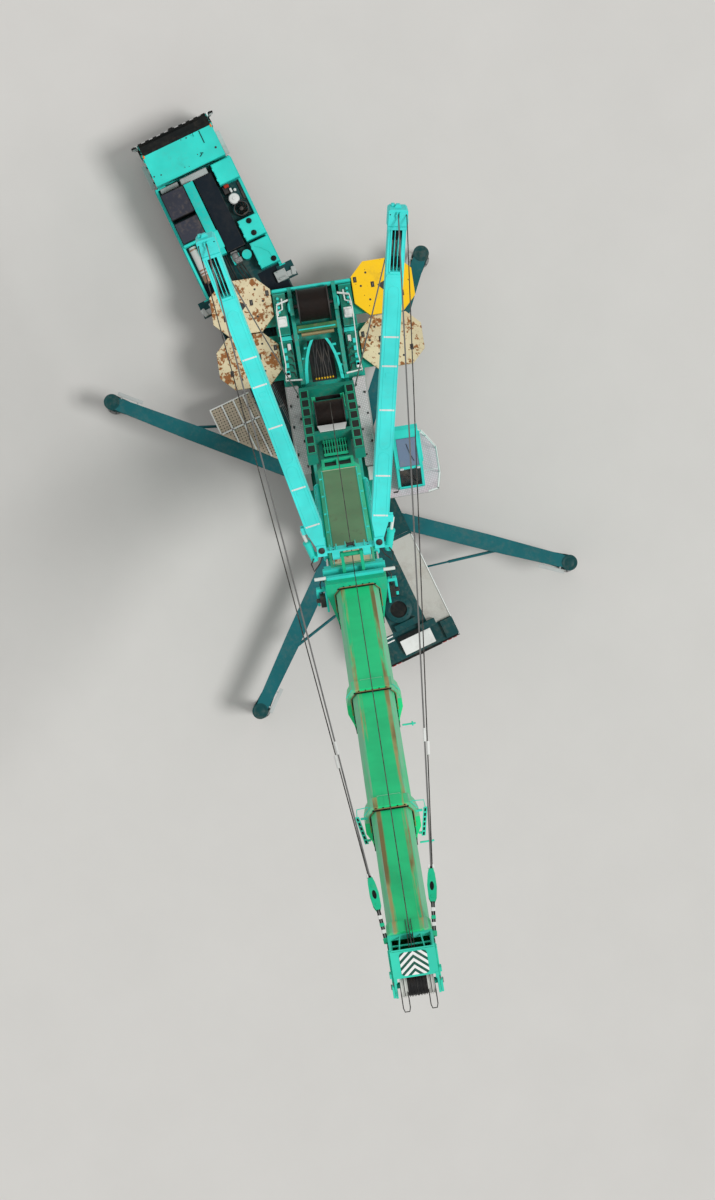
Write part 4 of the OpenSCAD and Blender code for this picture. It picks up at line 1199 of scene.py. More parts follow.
@dataclass
class DriverCab(Assembly):
    """The carrier's cab: glass, black front band, lamps, mirrors, steps and the seats inside."""

    body = "carrier"
    half: float = 1.35
    roof: float = 3.13
    screen_low: tuple = (13.845, 2.2)
    screen_high: tuple = (13.6, 3.0)

    def glass(self) -> None:
        """The windscreen, the two door panes and the rear pane."""
        (x0, z0), (x1, z1) = self.screen_low, self.screen_high
        shape = self.piece("cab_panes", GLASS)
        h = self.half - 0.1
        outline = [(x0 - 0.03, z0), (x1 - 0.03, z1), (x1 - 0.018, z1), (x0 - 0.018, z0)]
        shape.add(np.array([(x, y, z) for y in (-h, h) for x, z in outline]),
                  [[0, 1, 5, 4], [1, 2, 6, 5], [2, 3, 7, 6], [3, 0, 4, 7], [3, 2, 1, 0], [4, 5, 6, 7]])
        shape.box((12.295, -0.92, 2.22), (12.31, 0.92, 2.88), 0.003)
        for word, side in (("left", 1), ("right", -1)):
            self.piece(f"door_pane_{word}", GLASS, body=f"driver_door_{word}").box(
                (12.85, side * 1.318, 2.05), (13.41, side * 1.332, 2.87), 0.003)
            self.piece(f"door_handle_{word}", BLACK, body=f"driver_door_{word}").boxes(
                (12.8, side * 1.35, 1.86, 12.94, side * 1.38, 1.9, 0.006),
                (12.775, side * 1.349, 1.84, 12.8, side * 1.366, 1.92, 0.004))

    def front(self) -> None:
        """Black bonnet band under the windscreen, grille slats, wipers and the sun visor's edge."""
        shape = self.piece("cab_front", BLACK)
        h = self.half - 0.02
        shape.boxes((13.865, -h, 2.105, 13.985, h, 2.15, 0.01), (13.985, -h, 1.92, 14.02, h, 2.08, 0.01))
        for k in range(9):
            shape.box((13.99, -0.9, 1.02 + 0.09 * k), (14.005, 0.9, 1.06 + 0.09 * k), 0.004)
        for y in (-0.75, 0.0, 0.75):
            shape.tube([(13.92, y, 2.17), (13.845, y + 0.28, 2.32), (13.78, y + 0.36, 2.52)], 0.01, 6)
            shape.tube([(13.8, y + 0.1, 2.46), (13.72, y + 0.62, 2.68)], 0.008, 6)
        shape.boxes((13.42, -h, 3.116, 13.57, h, 3.138, 0.004), (13.5, -h, 3.045, 13.76, h, 3.075, 0.008))
        for x, z in ((13.5, 3.1), (13.5, 3.02)):
            shape.box((x - 0.03, h + 0.005, z - 0.02), (x + 0.05, h + 0.03, z), 0.004, both=True)

    def bumper(self) -> None:
        """Bumper corners, its chevron boards, tread strip, lamps and towing eyes."""
        steel = self.piece("bumper_corners", BLACK)
        steel.boxes((13.7, 1.3, 0.68, 14.03, 1.428, 1.72, 0.02),
                    (13.96, 0.9, 1.9, 14.05, 1.42, 1.955, 0.012), both=True)
        steel.ring(0.03, 0.055, 0, 0.03, (14.05, 0.62, 0.86), X, 16, both=True)
        steel.box((14.0, -0.9, 1.9), (14.045, 0.9, 1.935), 0.01)
        for side in SIDES:
            word = "left" if side > 0 else "right"
            lamp = self.piece(f"headlamps_{word}", CLEAR_LAMP)
            for y in (0.86, 1.06):
                lamp.lathe([(0.0, 0.012), (0.05, 0.01), (0.074, 0.0), (0.074, -0.03), (0.0, -0.03)],
                           (14.052, side * y, 1.28), X, 24)
            bezel = self.piece(f"lamp_bezels_{word}", DARK_STEEL)
            for y in (0.86, 1.06):
                bezel.lathe([(0.076, -0.02), (0.076, 0.016), (0.09, 0.012), (0.094, -0.02)],
                            (14.052, side * y, 1.28), X, 24)
            bezel.box((14.045, side * 0.74, 1.16), (14.056, side * 1.19, 1.19), 0.004)
            self.piece(f"blinkers_{word}", ORANGE_LAMP).boxes(
                (14.045, side * 1.24, 1.2, 14.075, side * 1.36, 1.36, 0.01),
                (13.33, side * 1.285, 3.115, 13.45, side * 1.345, 3.165, 0.014))
        board = self.piece("warning_boards", Chevrons("warning_board", "grey_paint", rgb(34, 36, 38),
            dust=0.2, grime=0.2, chips=0.05, frame=GROUND, rise=2, pitch=0.3))
        board.boxes((14.047, 0.18, 1.5, 14.058, 1.36, 1.84, 0.004),
                    (13.9, 1.37, 1.7, 14.05, 1.53, 1.97, 0.01), both=True)
        board.box((14.03, -1.36, 1.955), (14.07, 1.36, 1.968), 0.003)

    def sides(self) -> None:
        """Mirrors on their arms, grab rails, the steps' grey treads and brackets, and small fittings on the
        roof.
        """
        arms = self.piece("mirror_arms", BLACK)
        glass = self.piece("mirror_panes", CHROME)
        tread = self.piece("side_steps", GREY)
        arms.box((13.83, 1.41, 2.44), (13.9, 1.6, 2.86), 0.02, both=True)
        glass.box((13.822, 1.43, 2.47), (13.829, 1.58, 2.83), 0.002, both=True)
        for low, high, z in ((12.5, 13.42, 1.0), (12.62, 13.4, 0.62)):
            tread.box((low, 1.4, z), (high, 1.56, z + 0.035), 0.008, both=True)
        for x in (12.72, 13.32):
            arms.box((x, 1.35, 0.6), (x + 0.03, 1.5, 1.0), 0.004, both=True)
        for side in SIDES:
            y = side * self.half
            arms.tube([(13.62, y - side * 0.02, 2.98), (13.8, y + side * 0.06, 2.98),
                       (13.86, y + side * 0.15, 2.9), (13.86, y + side * 0.15, 2.36),
                       (13.8, y + side * 0.05, 2.3)], 0.014, 8)
            arms.tube([(13.55, y + side * 0.01, 1.3), (13.56, y + side * 0.05, 1.34),
                       (13.56, y + side * 0.05, 2.8), (13.55, y + side * 0.01, 2.84)], 0.012, 8)
        arms.box((12.92, -0.865, 3.125), (13.4, -0.835, 3.16), 0.008)
        arms.tube([(12.55, -0.5, 3.14), (12.6, -0.6, 3.15), (12.66, -0.56, 3.15), (12.62, -0.66, 3.14)],
                  0.016, 6)
        arms.tube([(13.3, -0.6, 3.12), (13.32, -0.6, 3.3), (13.38, -0.6, 3.42)], 0.01, 6)

    def inside(self) -> None:
        """Two seats, the dashboard, the wheel and its column."""
        seats = self.piece("cab_seats", SEAT)
        for y in (-0.62, 0.62):
            seats.box((12.72, y - 0.24, 1.55), (13.16, y + 0.24, 1.68), 0.04)
            seats.box((12.62, y - 0.23, 1.6), (12.74, y + 0.23, 2.28), 0.05, turn_about(Y, -8))
            seats.box((12.6, y - 0.12, 2.28), (12.68, y + 0.12, 2.48), 0.04, turn_about(Y, -8))
        trim = self.piece("cab_trim", HOSE)
        trim.boxes((13.4, -1.28, 1.86, 13.78, 1.28, 2.12, 0.04),
                   (12.68, -0.86, 1.1, 13.1, -0.38, 1.55, 0.02), (12.68, 0.38, 1.1, 13.1, 0.86, 1.55, 0.02))
        trim.tube([(13.46, 0.62, 1.9), (13.28, 0.62, 2.06)], 0.03, 8)
        rim = [(13.26 - 0.11 * u, 0.62 + 0.21 * v, 2.07 + 0.18 * u) for u, v in around(24, 1.0)]
        trim.tube(rim, 0.014, 8, closed=True)

    def make(self) -> None:
        """Makes every piece of the cab."""
        self.glass()
        self.front()
        self.bumper()
        self.sides()
        self.inside()
        bolts = self.piece("roof_bolts", DARK_STEEL)
        for x, y, r in ((13.36, -0.34, 0.03), (13.38, -0.14, 0.02), (12.61, -1.14, 0.045),
                        (12.61, 1.28, 0.03), (12.56, 1.03, 0.03), (12.44, 0.15, 0.016),
                        (12.4, 0.0, 0.016), (12.66, -0.45, 0.02)):
            bolts.lathe([(0, 0), (r, 0), (r * 0.8, 0.012), (0, 0.016)], (x, y, self.roof - 0.002), Z, 10)


@dataclass
class CarrierDeck(Assembly):
    """Machines, rails and treads on the carrier's deck, and its ends' small parts."""

    body = "carrier"
    top: float = DECK_TOP

    def rails(self) -> None:
        """Turquoise box rails along both sides in front, and the cross rails between them."""
        shape = self.piece("deck_rails", TURQUOISE)
        z = self.top
        shape.box((7.95, 1.385, z + 0.06), (12.22, 1.47, z + 0.14), 0.012, both=True)
        for x in np.arange(8.1, 12.2, 0.82):
            shape.box((x, 1.4, z - 0.01), (x + 0.07, 1.455, z + 0.07), 0.006, both=True)
        shape.box((12.19, 1.06, z + 0.05), (12.26, 1.47, z + 0.13), 0.01, both=True)
        shape.boxes((9.9, 0.5, z + 0.1, 9.99, 1.4, z + 0.56, 0.012),
                    (9.32, 0.08, 2.8, 9.98, 0.86, 2.9, 0.02), (9.36, 0.12, z, 9.94, 0.8, 2.81, 0.01))
        for x in (10.55, 10.9, 11.5):
            shape.box((x, 0.14, 2.878), (x + 0.012, 0.46, 2.888), 0.003)

    def covers(self) -> None:
        """Lids: a raised edge and hinges on each box, and a bent tube on the rearmost lid."""
        shape = self.piece("deck_lids", TURQUOISE)
        for low, high, top in (((11.35, -1.47), (12.15, -0.7), 2.9), ((9.15, -1.47), (9.93, -0.7), 2.85),
                ((8.05, -1.47), (9.04, -0.75), 2.8)):
            shape.box((low[0] + 0.02, low[1] + 0.02, top), (high[0] - 0.02, high[1] - 0.02, top + 0.014),
                      0.008)
            for x in (low[0] + 0.15, high[0] - 0.25):
                shape.boxes((x, high[1] - 0.03, top - 0.05, x + 0.1, high[1] + 0.02, top + 0.02, 0.006),
                            (x, low[1] - 0.012, top - 0.12, x + 0.06, low[1] + 0.01, top - 0.04, 0.004))
        shape.tube([(8.18, -1.3, 2.822), (8.5, -1.25, 2.83), (8.78, -1.02, 2.83), (8.88, -0.86, 2.822)],
                   0.012, 8)

    def caps(self) -> None:
        """Filler caps on the tanks, with a bar across each."""
        shape = self.piece("deck_caps", BLACK)
        for x, y, z in ((9.78, -1.08, 2.864), (9.32, -1.06, 2.864), (8.2, -1.3, 2.814)):
            shape.lathe([(0, 0), (0.1, 0), (0.1, 0.03), (0.078, 0.035), (0.074, 0.06), (0.0, 0.064)],
                        (x, y, z), Z, 28)
            shape.box((x - 0.06, y - 0.01, z + 0.05), (x + 0.06, y + 0.01, z + 0.085), 0.004)

    def fan(self) -> None:
        """The recess on the right: a black fan with curved blades in its ring, hoses and battery box."""
        shape = self.piece("recess_fan", HOSE)
        centre = (10.32, -1.04, 2.3)
        shape.ring(0.235, 0.265, 0.1, 0.36, centre, Z, 40)
        shape.lathe([(0, 0.16), (0.07, 0.16), (0.07, 0.33), (0, 0.34)], centre, Z, 20)
        for k in range(9):
            a = np.linspace(0, 0.5, 6) + 2 * pi * k / 9
            r = np.linspace(0.065, 0.225, 6)
            lower = np.stack([centre[0] + r * np.cos(a), centre[1] + r * np.sin(a),
                np.full(6, centre[2] + 0.2)], -1)
            upper = np.stack([centre[0] + r * np.cos(a + 0.35), centre[1] + r * np.sin(a + 0.35),
                np.full(6, centre[2] + 0.3)], -1)
            ring = np.concatenate([lower, upper, upper + [0, 0, 0.012], lower + [0, 0, 0.012]])
            faces = sheet_faces(4, 6, True, False).tolist() + [[0, 6, 12, 18], [23, 17, 11, 5]]
            shape.add(ring, faces)
        for x in (10.08, 10.56):
            shape.tube([(x, -1.3, 2.3), (x, -1.28, 2.55), (x + 0.04, -1.2, 2.66),
                        (x + 0.02, -1.02, 2.68)], 0.02, 8)
        shape.boxes((11.02, -0.92, 2.26, 11.3, -0.72, 2.5, 0.015),
                    (10.62, -1.4, 2.26, 11.28, -1.28, 2.34, 0.01))
        for x in (11.45, 11.62, 11.8, 11.98):
            shape.tube([(x, -0.66, 2.3), (x, -0.67, 2.62), (x + 0.03, -0.69, 2.72)], 0.018, 8)

    def canisters(self) -> None:
        """White canister in the recess, its strap, and a smaller one beside it."""
        shape = self.piece("recess_canisters", WHITE)
        shape.lathe([(0, 0), (0.19, 0), (0.2, 0.02), (0.2, 0.38), (0.17, 0.43), (0.06, 0.45),
                     (0.05, 0.48), (0, 0.48)], (10.75, -0.95, 2.27), Z, 36)
        shape.disc(0.05, 0.2, 0.22, (11.05, -1.12, 2.27), Z, 16)
        shape.box((11.0, -1.02, 2.27), (11.16, -0.94, 2.62), 0.02)

    def pipes(self) -> None:
        """The silencer's bands and tail, the pump's housings, and hydraulic lines down the middle."""
        bands = self.piece("silencer_bands", Steel("heated_steel", "bright_steel", rgb(176, 140, 116),
            roughness=0.35, metallic=0.9, grime=0.5))
        for x in (8.8, 8.92, 9.72):
            bands.ring(0.141, 0.156, 0, 0.05, (x, 1.15, self.top + 0.14), X, 32)
        bands.lathe([(0.1, -0.3), (0.15, -0.27), (0.155, -0.2), (0.145, 0.0), (0.12, 0.0), (0.08, -0.2)],
                    (8.75, 1.15, self.top + 0.14), X, 32)
        pump = self.piece("deck_pump", STEEL)
        pump.lathe([(0, -0.16), (0.15, -0.16), (0.17, -0.12), (0.17, 0.1), (0.13, 0.16), (0, 0.16)],
                   (8.85, -0.1, 2.52), X, 24)
        pump.boxes((8.58, -0.3, 2.26, 8.8, -0.02, 2.72, 0.03), (8.95, -0.24, 2.3, 9.08, 0.02, 2.6, 0.02))
        pump.lathe([(0, 0.36), (0.07, 0.36), (0.07, 0.46), (0.05, 0.48), (0, 0.48)], (8.68, -0.14, 2.26),
                   Z, 16)
        lines = self.piece("deck_lines", HOSE)
        for k in range(7):
            y = 0.18 + 0.085 * k
            z = self.top + 0.1 + 0.02 * (k % 3)
            lines.tube([(9.36, y, z), (8.7, y, z), (8.2, y - 0.02 * k, z),
                        (7.55, 0.3 + 0.05 * k, z - 0.03), (1.6, 0.3 + 0.05 * k, z - 0.03)], 0.019, 8)
        for k in range(3):
            lines.tube([(8.55, -0.2 + 0.1 * k, 2.5), (8.3, -0.25 + 0.12 * k, 2.56),
                        (8.0, -0.3 + 0.12 * k, 2.42), (7.6, -0.35 + 0.12 * k, 2.31),
                        (1.7, -0.35 + 0.12 * k, 2.31)], 0.022, 8)
        metal = self.piece("deck_pipes", STEEL)
        for k in range(4):
            y = 0.56 + 0.055 * k
            metal.tube([(9.32, y, 2.44), (8.6, y, 2.44), (8.05, y, 2.4), (7.5, y, 2.32), (1.62, y, 2.32)],
                       0.013, 8)
        for x in np.arange(2.2, 9.2, 1.15):
            metal.box((x, 0.24, 2.262), (x + 0.06, 0.8, 2.3), 0.005)

    def brackets(self) -> None:
        """Grey lamp and step brackets that stand out on both sides behind the tanks."""
        grey = self.piece("lamp_brackets", GREY)
        lens = self.piece("bracket_lenses", CLEAR_LAMP)
        grey.boxes((7.38, 1.08, 2.3, 7.78, 1.5, 2.42, 0.012), (7.42, 1.5, 2.34, 7.62, 1.72, 2.4, 0.01),
                   both=True)
        for x in (7.44, 7.72):
            grey.tube([(x, 1.2, 2.4), (x, 1.2, 2.62), (x, 1.46, 2.62), (x, 1.46, 2.4)], 0.014, 8, both=True)
        lens.box((7.44, 1.838, 2.29), (7.66, 1.852, 2.43), 0.006, both=True)
        for side in SIDES:
            grey.box((7.4, side * 1.68, 2.26), (7.7, side * 1.84, 2.46), 0.02, turn_about(Z, side * 14))

    def rear(self) -> None:
        """Rear deck: round cover with its bolts, boxes, edge strips, treads, bumper parts and lamps."""
        z = self.top
        teal = self.piece("rear_machinery", TEAL_DARK)
        teal.lathe([(0.3, 0.13), (0.46, 0.13), (0.46, 0.1), (0.485, 0.1), (0.485, 0.17), (0.42, 0.2),
                    (0.3, 0.2)], (-5.0, 0.1, z), Z, 48)
        for x, y in around(10, 0.38):
            teal.disc(0.028, 0.03, 0.035, (x - 5.0, y + 0.1, z + 0.19), Z, 6)
        teal.boxes((-5.72, -0.34, z, -5.48, 0.52, z + 0.26, 0.02),
                   (-4.45, -0.2, z, -4.2, 0.36, z + 0.22, 0.02),
                   (-6.05, -0.9, z, -5.8, -0.3, z + 0.3, 0.02),
                   (-4.1, -0.52, z, -3.6, -0.1, z + 0.16, 0.02),
                   (-6.68, -1.49, z, -6.02, -1.02, z + 0.2, 0.015),
                   (-6.68, 1.02, z, -6.02, 1.49, z + 0.2, 0.015),
                   (-6.6, -1.44, z + 0.2, -6.1, -1.07, z + 0.212, 0.006),
                   (-6.6, 1.07, z + 0.2, -6.1, 1.44, z + 0.212, 0.006))
        teal.tube([(-4.3, 0.1, z + 0.12), (-3.9, 0.1, z + 0.2), (-3.4, 0.12, z + 0.1),
                   (-2.7, 0.12, z + 0.06)], 0.045, 10)
        self.piece("rear_edge_strips", WHITE).boxes((-6.6, -0.62, 2.42, -6.06, 0.56, 2.45, 0.008),
            (-6.72, -1.495, z, -2.75, -1.455, z + 0.05, 0.008),
            (-6.72, 1.455, z, -2.75, 1.495, z + 0.05, 0.008),
            (-5.95, 0.7, z, -5.9, 1.44, z + 0.012, 0.004), (-5.8, 0.7, z, -5.75, 1.44, z + 0.012, 0.004))
        self.piece("rear_treads", DECK).boxes((-6.0, -1.45, z, -2.72, -0.62, z + 0.01, 0.004),
            (-5.7, 0.66, z, -2.72, 1.45, z + 0.01, 0.004))
        frame = self.piece("rear_bumper_parts", BLACK)
        for y in (-0.7, -0.45, -0.2, 0.2, 0.45, 0.7):
            frame.box((-6.765, y - 0.05, 1.78), (-6.748, y + 0.05, 1.84), 0.004)
        frame.box((-6.78, -0.8, 1.7), (-6.745, 0.8, 2.12), 0.01)
        frame.lathe([(0, -0.06), (0.07, -0.06), (0.09, -0.03), (0.05, 0.0), (0, 0.0)], (-6.75, 0, 1.8), X,
                    20)
        lamps = self.piece("rear_lamps", RED_LAMP)
        for y in (0.9, 1.1, 1.3):
            lamps.box((-6.772, y - 0.075, 2.205), (-6.748, y + 0.075, 2.25), 0.006, both=True)

    def make(self) -> None:
        """Makes the deck's pieces."""
        self.rails()
        self.covers()
        self.caps()
        self.fan()
        self.canisters()
        self.piece("deck_walkway", BLACK_WALK).box((9.12, -0.58, 2.75), (11.91, 0.05, 2.762), 0.005)
        gloss = self.piece("glossy_covers", Finish("gloss_black", "black_paint", rgb(58, 60, 70),
            roughness=0.16, dust=0.25, grime=0.1, chips=0.0))
        for x0, x1 in ((10.95, 11.91), (10.02, 10.77)):
            gloss.box((x0, 0.52, 2.95), (x1, 1.37, 2.985), 0.03)
        self.piece("middle_treads", BLACK_WALK).boxes(
            (1.55, -1.45, self.top, 8.0, -0.55, self.top + 0.01, 0.004),
            (1.55, 0.9, self.top, 8.6, 1.45, self.top + 0.01, 0.004))
        self.piece("red_bottles", Finish("red_bottle", "slab_paint", rgb(190, 60, 40),
            roughness=0.35)).boxes((11.82, -0.8, 2.3, 12.04, -0.7, 2.62, 0.02),
            (11.22, -0.98, 2.3, 11.34, -0.8, 2.58, 0.02))
        self.piece("cab_back_box", GREY).boxes((11.96, -0.52, 2.26, 12.2, 0.52, 2.66, 0.02),
            (12.02, 0.62, 2.26, 12.2, 1.3, 2.46, 0.02))
        self.pipes()
        self.brackets()
        self.rear()


# Superstructure


@dataclass
class Superstructure(Assembly):
    """Winch, hoses, rails, tail, boxes and walkways on the turntable."""

    body = "superstructure"
    frame = UPPER
    floor: float = FLOOR_TOP

    def winch(self) -> None:
        """Turns of rope on the rear drum."""
        rope = self.piece("rear_drum_rope", BROWN_ROPE, body="rear_winch")
        x, z = REAR_DRUM
        for k in range(29):
            y = -0.49 + 0.035 * k
            rope.lathe([(0.545, -0.017), (0.566, -0.01), (0.572, 0.0), (0.566, 0.01), (0.545, 0.017)],
                       (x, y, z), Y, 48)

    def hoses(self) -> None:
        """Black hoses that run forward between the horn plates, their brass fittings, and a black floor
        plate painted as the shade under them.
        """
        hoses = self.piece("winch_hoses", HOSE)
        brass = self.piece("hose_fittings", Steel("brass", "slab_paint", rgb(214, 170, 40), roughness=0.3,
            metallic=0.9, grime=0.3))
        # Black floor plate painted as the shade between the horn plates.
        hoses.box((-5.14, -0.44, self.floor - 0.004), (-3.66, 0.44, self.floor + 0.012), 0.006)
        for k in range(7):
            y = -0.26 + 0.087 * k
            bow = 0.05 * sin(2.1 * k)
            hoses.tube([(-5.1, y * 0.8, 3.02), (-4.8, y + bow, 3.13), (-4.4, y - bow, 3.1),
                        (-4.05, y * 1.1, 3.04), (-3.74, y * 1.15, 2.94)], 0.027, 8)
            brass.lathe([(0.0, -0.05), (0.032, -0.05), (0.036, -0.01), (0.036, 0.03), (0.022, 0.05),
                         (0.0, 0.05)], (-3.74, y * 1.15, 2.94), X, 8)

    def tail(self) -> None:
        """Turquoise plates: the tail bar, the drum's bearings, and the two horn plates with their ribs."""
        shape = self.piece("upper_cross_plates", TURQUOISE)
        shape.box((-7.078, -1.42, 3.06), (-6.96, 1.42, 3.19), 0.04)
        shape.lathe([(0.072, 0.0), (0.2, 0.0), (0.2, 0.04), (0.13, 0.075), (0.072, 0.08)],
                    (REAR_DRUM[0], 0.845, REAR_DRUM[1]), Y, 32, both=True)
        shape.box((-5.38, 0.7, 2.95), (-5.22, 1.34, 3.14), 0.015, both=True)
        for side in SIDES:
            horn = [(-5.12, 0.2), (-4.86, 0.34), (-4.5, 0.46), (-4.1, 0.54), (-3.62, 0.58)]
            outer = [(x + 0.03, y + 0.115) for x, y in horn]
            shape.plate([(x, side * y) for x, y in horn + outer[::-1]], 2.98, 3.24, Z)
            for x, y in horn[1:4]:
                shape.box((x - 0.04, side * (y + 0.1), 2.96), (x + 0.04, side * (y + 0.24), 3.12), 0.012)

    def rails(self) -> None:
        """White tube rails along both walkways, with their posts."""
        shape = self.piece("upper_rails", WHITE)
        path = [(-6.59, 0.88), (-6.48, 1.29), (-6.16, 1.33), (-5.62, 1.33), (-4.34, 1.29), (-3.78, 1.36),
                (-3.73, 0.8)]
        for z in (3.9, 3.55):
            shape.tube([(x, y, z) for x, y in path], 0.019, 8, both=True)
        for x, y in path[1:]:
            shape.tube([(x, y, 2.87), (x, y, 3.9)], 0.016, 8, both=True)
        shape.tube([(-1.5, 1.36, 2.6), (-1.5, 1.38, 3.1), (-0.2, 1.38, 3.1), (-0.2, 1.36, 2.6)], 0.016, 8,
                   both=True)

    def boxes(self) -> None:
        """White boxes with their tilted heads and lamps, treads on walkways and covers, small fittings."""
        dark = self.piece("walkway_fittings", HOSE)
        white = self.piece("lamp_boxes", WHITE)
        lamps = self.piece("box_lenses", CLEAR_LAMP)
        white.boxes((-6.06, 1.02, 3.28, -5.7, 1.36, 3.52, 0.02),
                    (-0.38, 1.02, 2.61, 0.1, 1.4, 2.98, 0.02), both=True)
        lamps.box((-5.705, 1.07, 3.33), (-5.685, 1.31, 3.47), 0.005, both=True)
        for side in SIDES:
            white.box((-5.98, side * 1.06, 3.52), (-5.78, side * 1.32, 3.6), 0.02, turn_about(Y, 8))
        for k, x in enumerate((-3.35, -3.05, -2.55, -2.3, -1.75, -1.3, -0.85)):
            dark.boxes((x, (1.04, 1.3)[k % 2], 3.01, x + 0.07, (1.1, 1.37)[k % 2], 3.04 + 0.05 * (k % 3),
                        0.008), (x + 0.1, -(1.08, 1.31)[k % 2], 3.01, x + 0.2, -(1.02, 1.37)[k % 2],
                3.03 + 0.06 * (k % 2), 0.008))
        for name, finish, rows in (("upper_walkways", SPECKLED, ((-3.57, -0.43, 3.0),)),
                ("upper_covers", DARK_GREEN, ((-6.86, -6.1, 3.3), (-5.66, -5.44, 3.3),
                (-5.17, -3.83, 3.1)))):
            walk = self.piece(name, finish)
            for x0, x1, z in rows:
                walk.box((x0, 0.97, z - 0.002), (x1, 1.4, z + 0.01), 0.004, both=True)
                for x in np.arange(x0 + 0.1, x1 - 0.05, 0.28):
                    walk.box((x, 1.01, z + 0.01), (x + 0.03, 1.36, z + 0.02), 0.003, both=True)

    def hub(self) -> None:
        """The slewing ring's bolts, and the rotary joint with its hoses."""
        bolts = self.piece("ring_bolts", DARK_STEEL)
        for x, y in around(36, 1.26):
            bolts.lathe([(0, 0), (0.028, 0), (0.028, 0.035), (0.0, 0.04)], (x, y, FLOOR_TOP), Z, 6)
        hub = self.piece("rotary_joint", HOSE)
        hub.lathe([(0, 0), (0.34, 0), (0.34, 0.03), (0.26, 0.045), (0.12, 0.05), (0, 0.05)],
                  (0, 0, FLOOR_TOP), Z, 36)
        for k in range(6):
            a = 2 * pi * k / 6 + 0.3
            hub.tube([(0.3 * cos(a), 0.3 * sin(a), 2.59), (0.5 * cos(a), 0.45 * sin(a), 2.6),
                      (0.8 * cos(a), 0.7 * sin(a), 2.59), (1.1 * cos(a + 0.3), 0.75 * sin(a + 0.3),
                2.59)], 0.026, 8)

    def clutter(self) -> None:
        """Valves, pipes and small boxes on the covers beside the winch and before it."""
        pale = self.piece("upper_pipes", WHITE)
        green = self.piece("upper_valves", TURQUOISE)
        black = self.piece("upper_hoses", HOSE)
        pale.tube([(-6.7, 1.1, 3.36), (-6.32, 1.12, 3.4), (-6.26, 1.28, 3.4), (-6.12, 1.3, 3.36)], 0.03,
                  8, both=True)
        pale.boxes((-5.1, 1.02, 3.11, -4.86, 1.14, 3.2, 0.02), (-4.1, 1.18, 3.11, -3.9, 1.36, 3.22, 0.02),
                   both=True)
        black.tube([(-5.6, 0.8, 3.05), (-5.34, 0.92, 3.2), (-5.05, 0.86, 3.12), (-4.8, 0.8, 3.0)], 0.028,
                   8, both=True)
        for side in SIDES:
            for k in range(4):
                x = -4.96 + 0.27 * k
                green.box((x, side * 1.18, 3.1), (x + 0.17, side * (1.3 + 0.02 * (k % 2)),
                    3.22 + 0.03 * (k % 3)), 0.015)
                black.tube([(x + 0.05, side * 1.16, 3.16), (x + 0.1, side * 1.02, 3.2),
                            (x + 0.26, side * 0.98, 3.14)], 0.018, 8)
                green.lathe([(0, 0), (0.05, 0), (0.05, 0.1), (0.03, 0.12), (0, 0.12)],
                            (-6.72 + 0.16 * k, side * 1.24, 3.3), Z, 14)
        green.tube([(-5.52, -0.66, 3.24), (-5.52, 0.66, 3.24)], 0.03, 10)
        self.piece("winch_cross_plate", Finish("worn_green", "green_paint", rgb(66, 124, 76), dust=0.5,
            grime=0.6, chips=0.8)).box((-5.68, -0.72, 3.1), (-5.42, 0.72, 3.215), 0.02)
        self.piece("rope_roller", Finish("roller_brass", "slab_paint", rgb(176, 158, 116), roughness=0.3,
            metallic=0.5)).ring(0, 0.07, -0.58, 0.58, (-5.34, 0.0, 3.16), Y, 24)

    def make(self) -> None:
        """Makes the superstructure's pieces."""
        self.clutter()
        self.winch()
        self.hoses()
        self.tail()
        self.rails()
        self.boxes()
        self.hub()


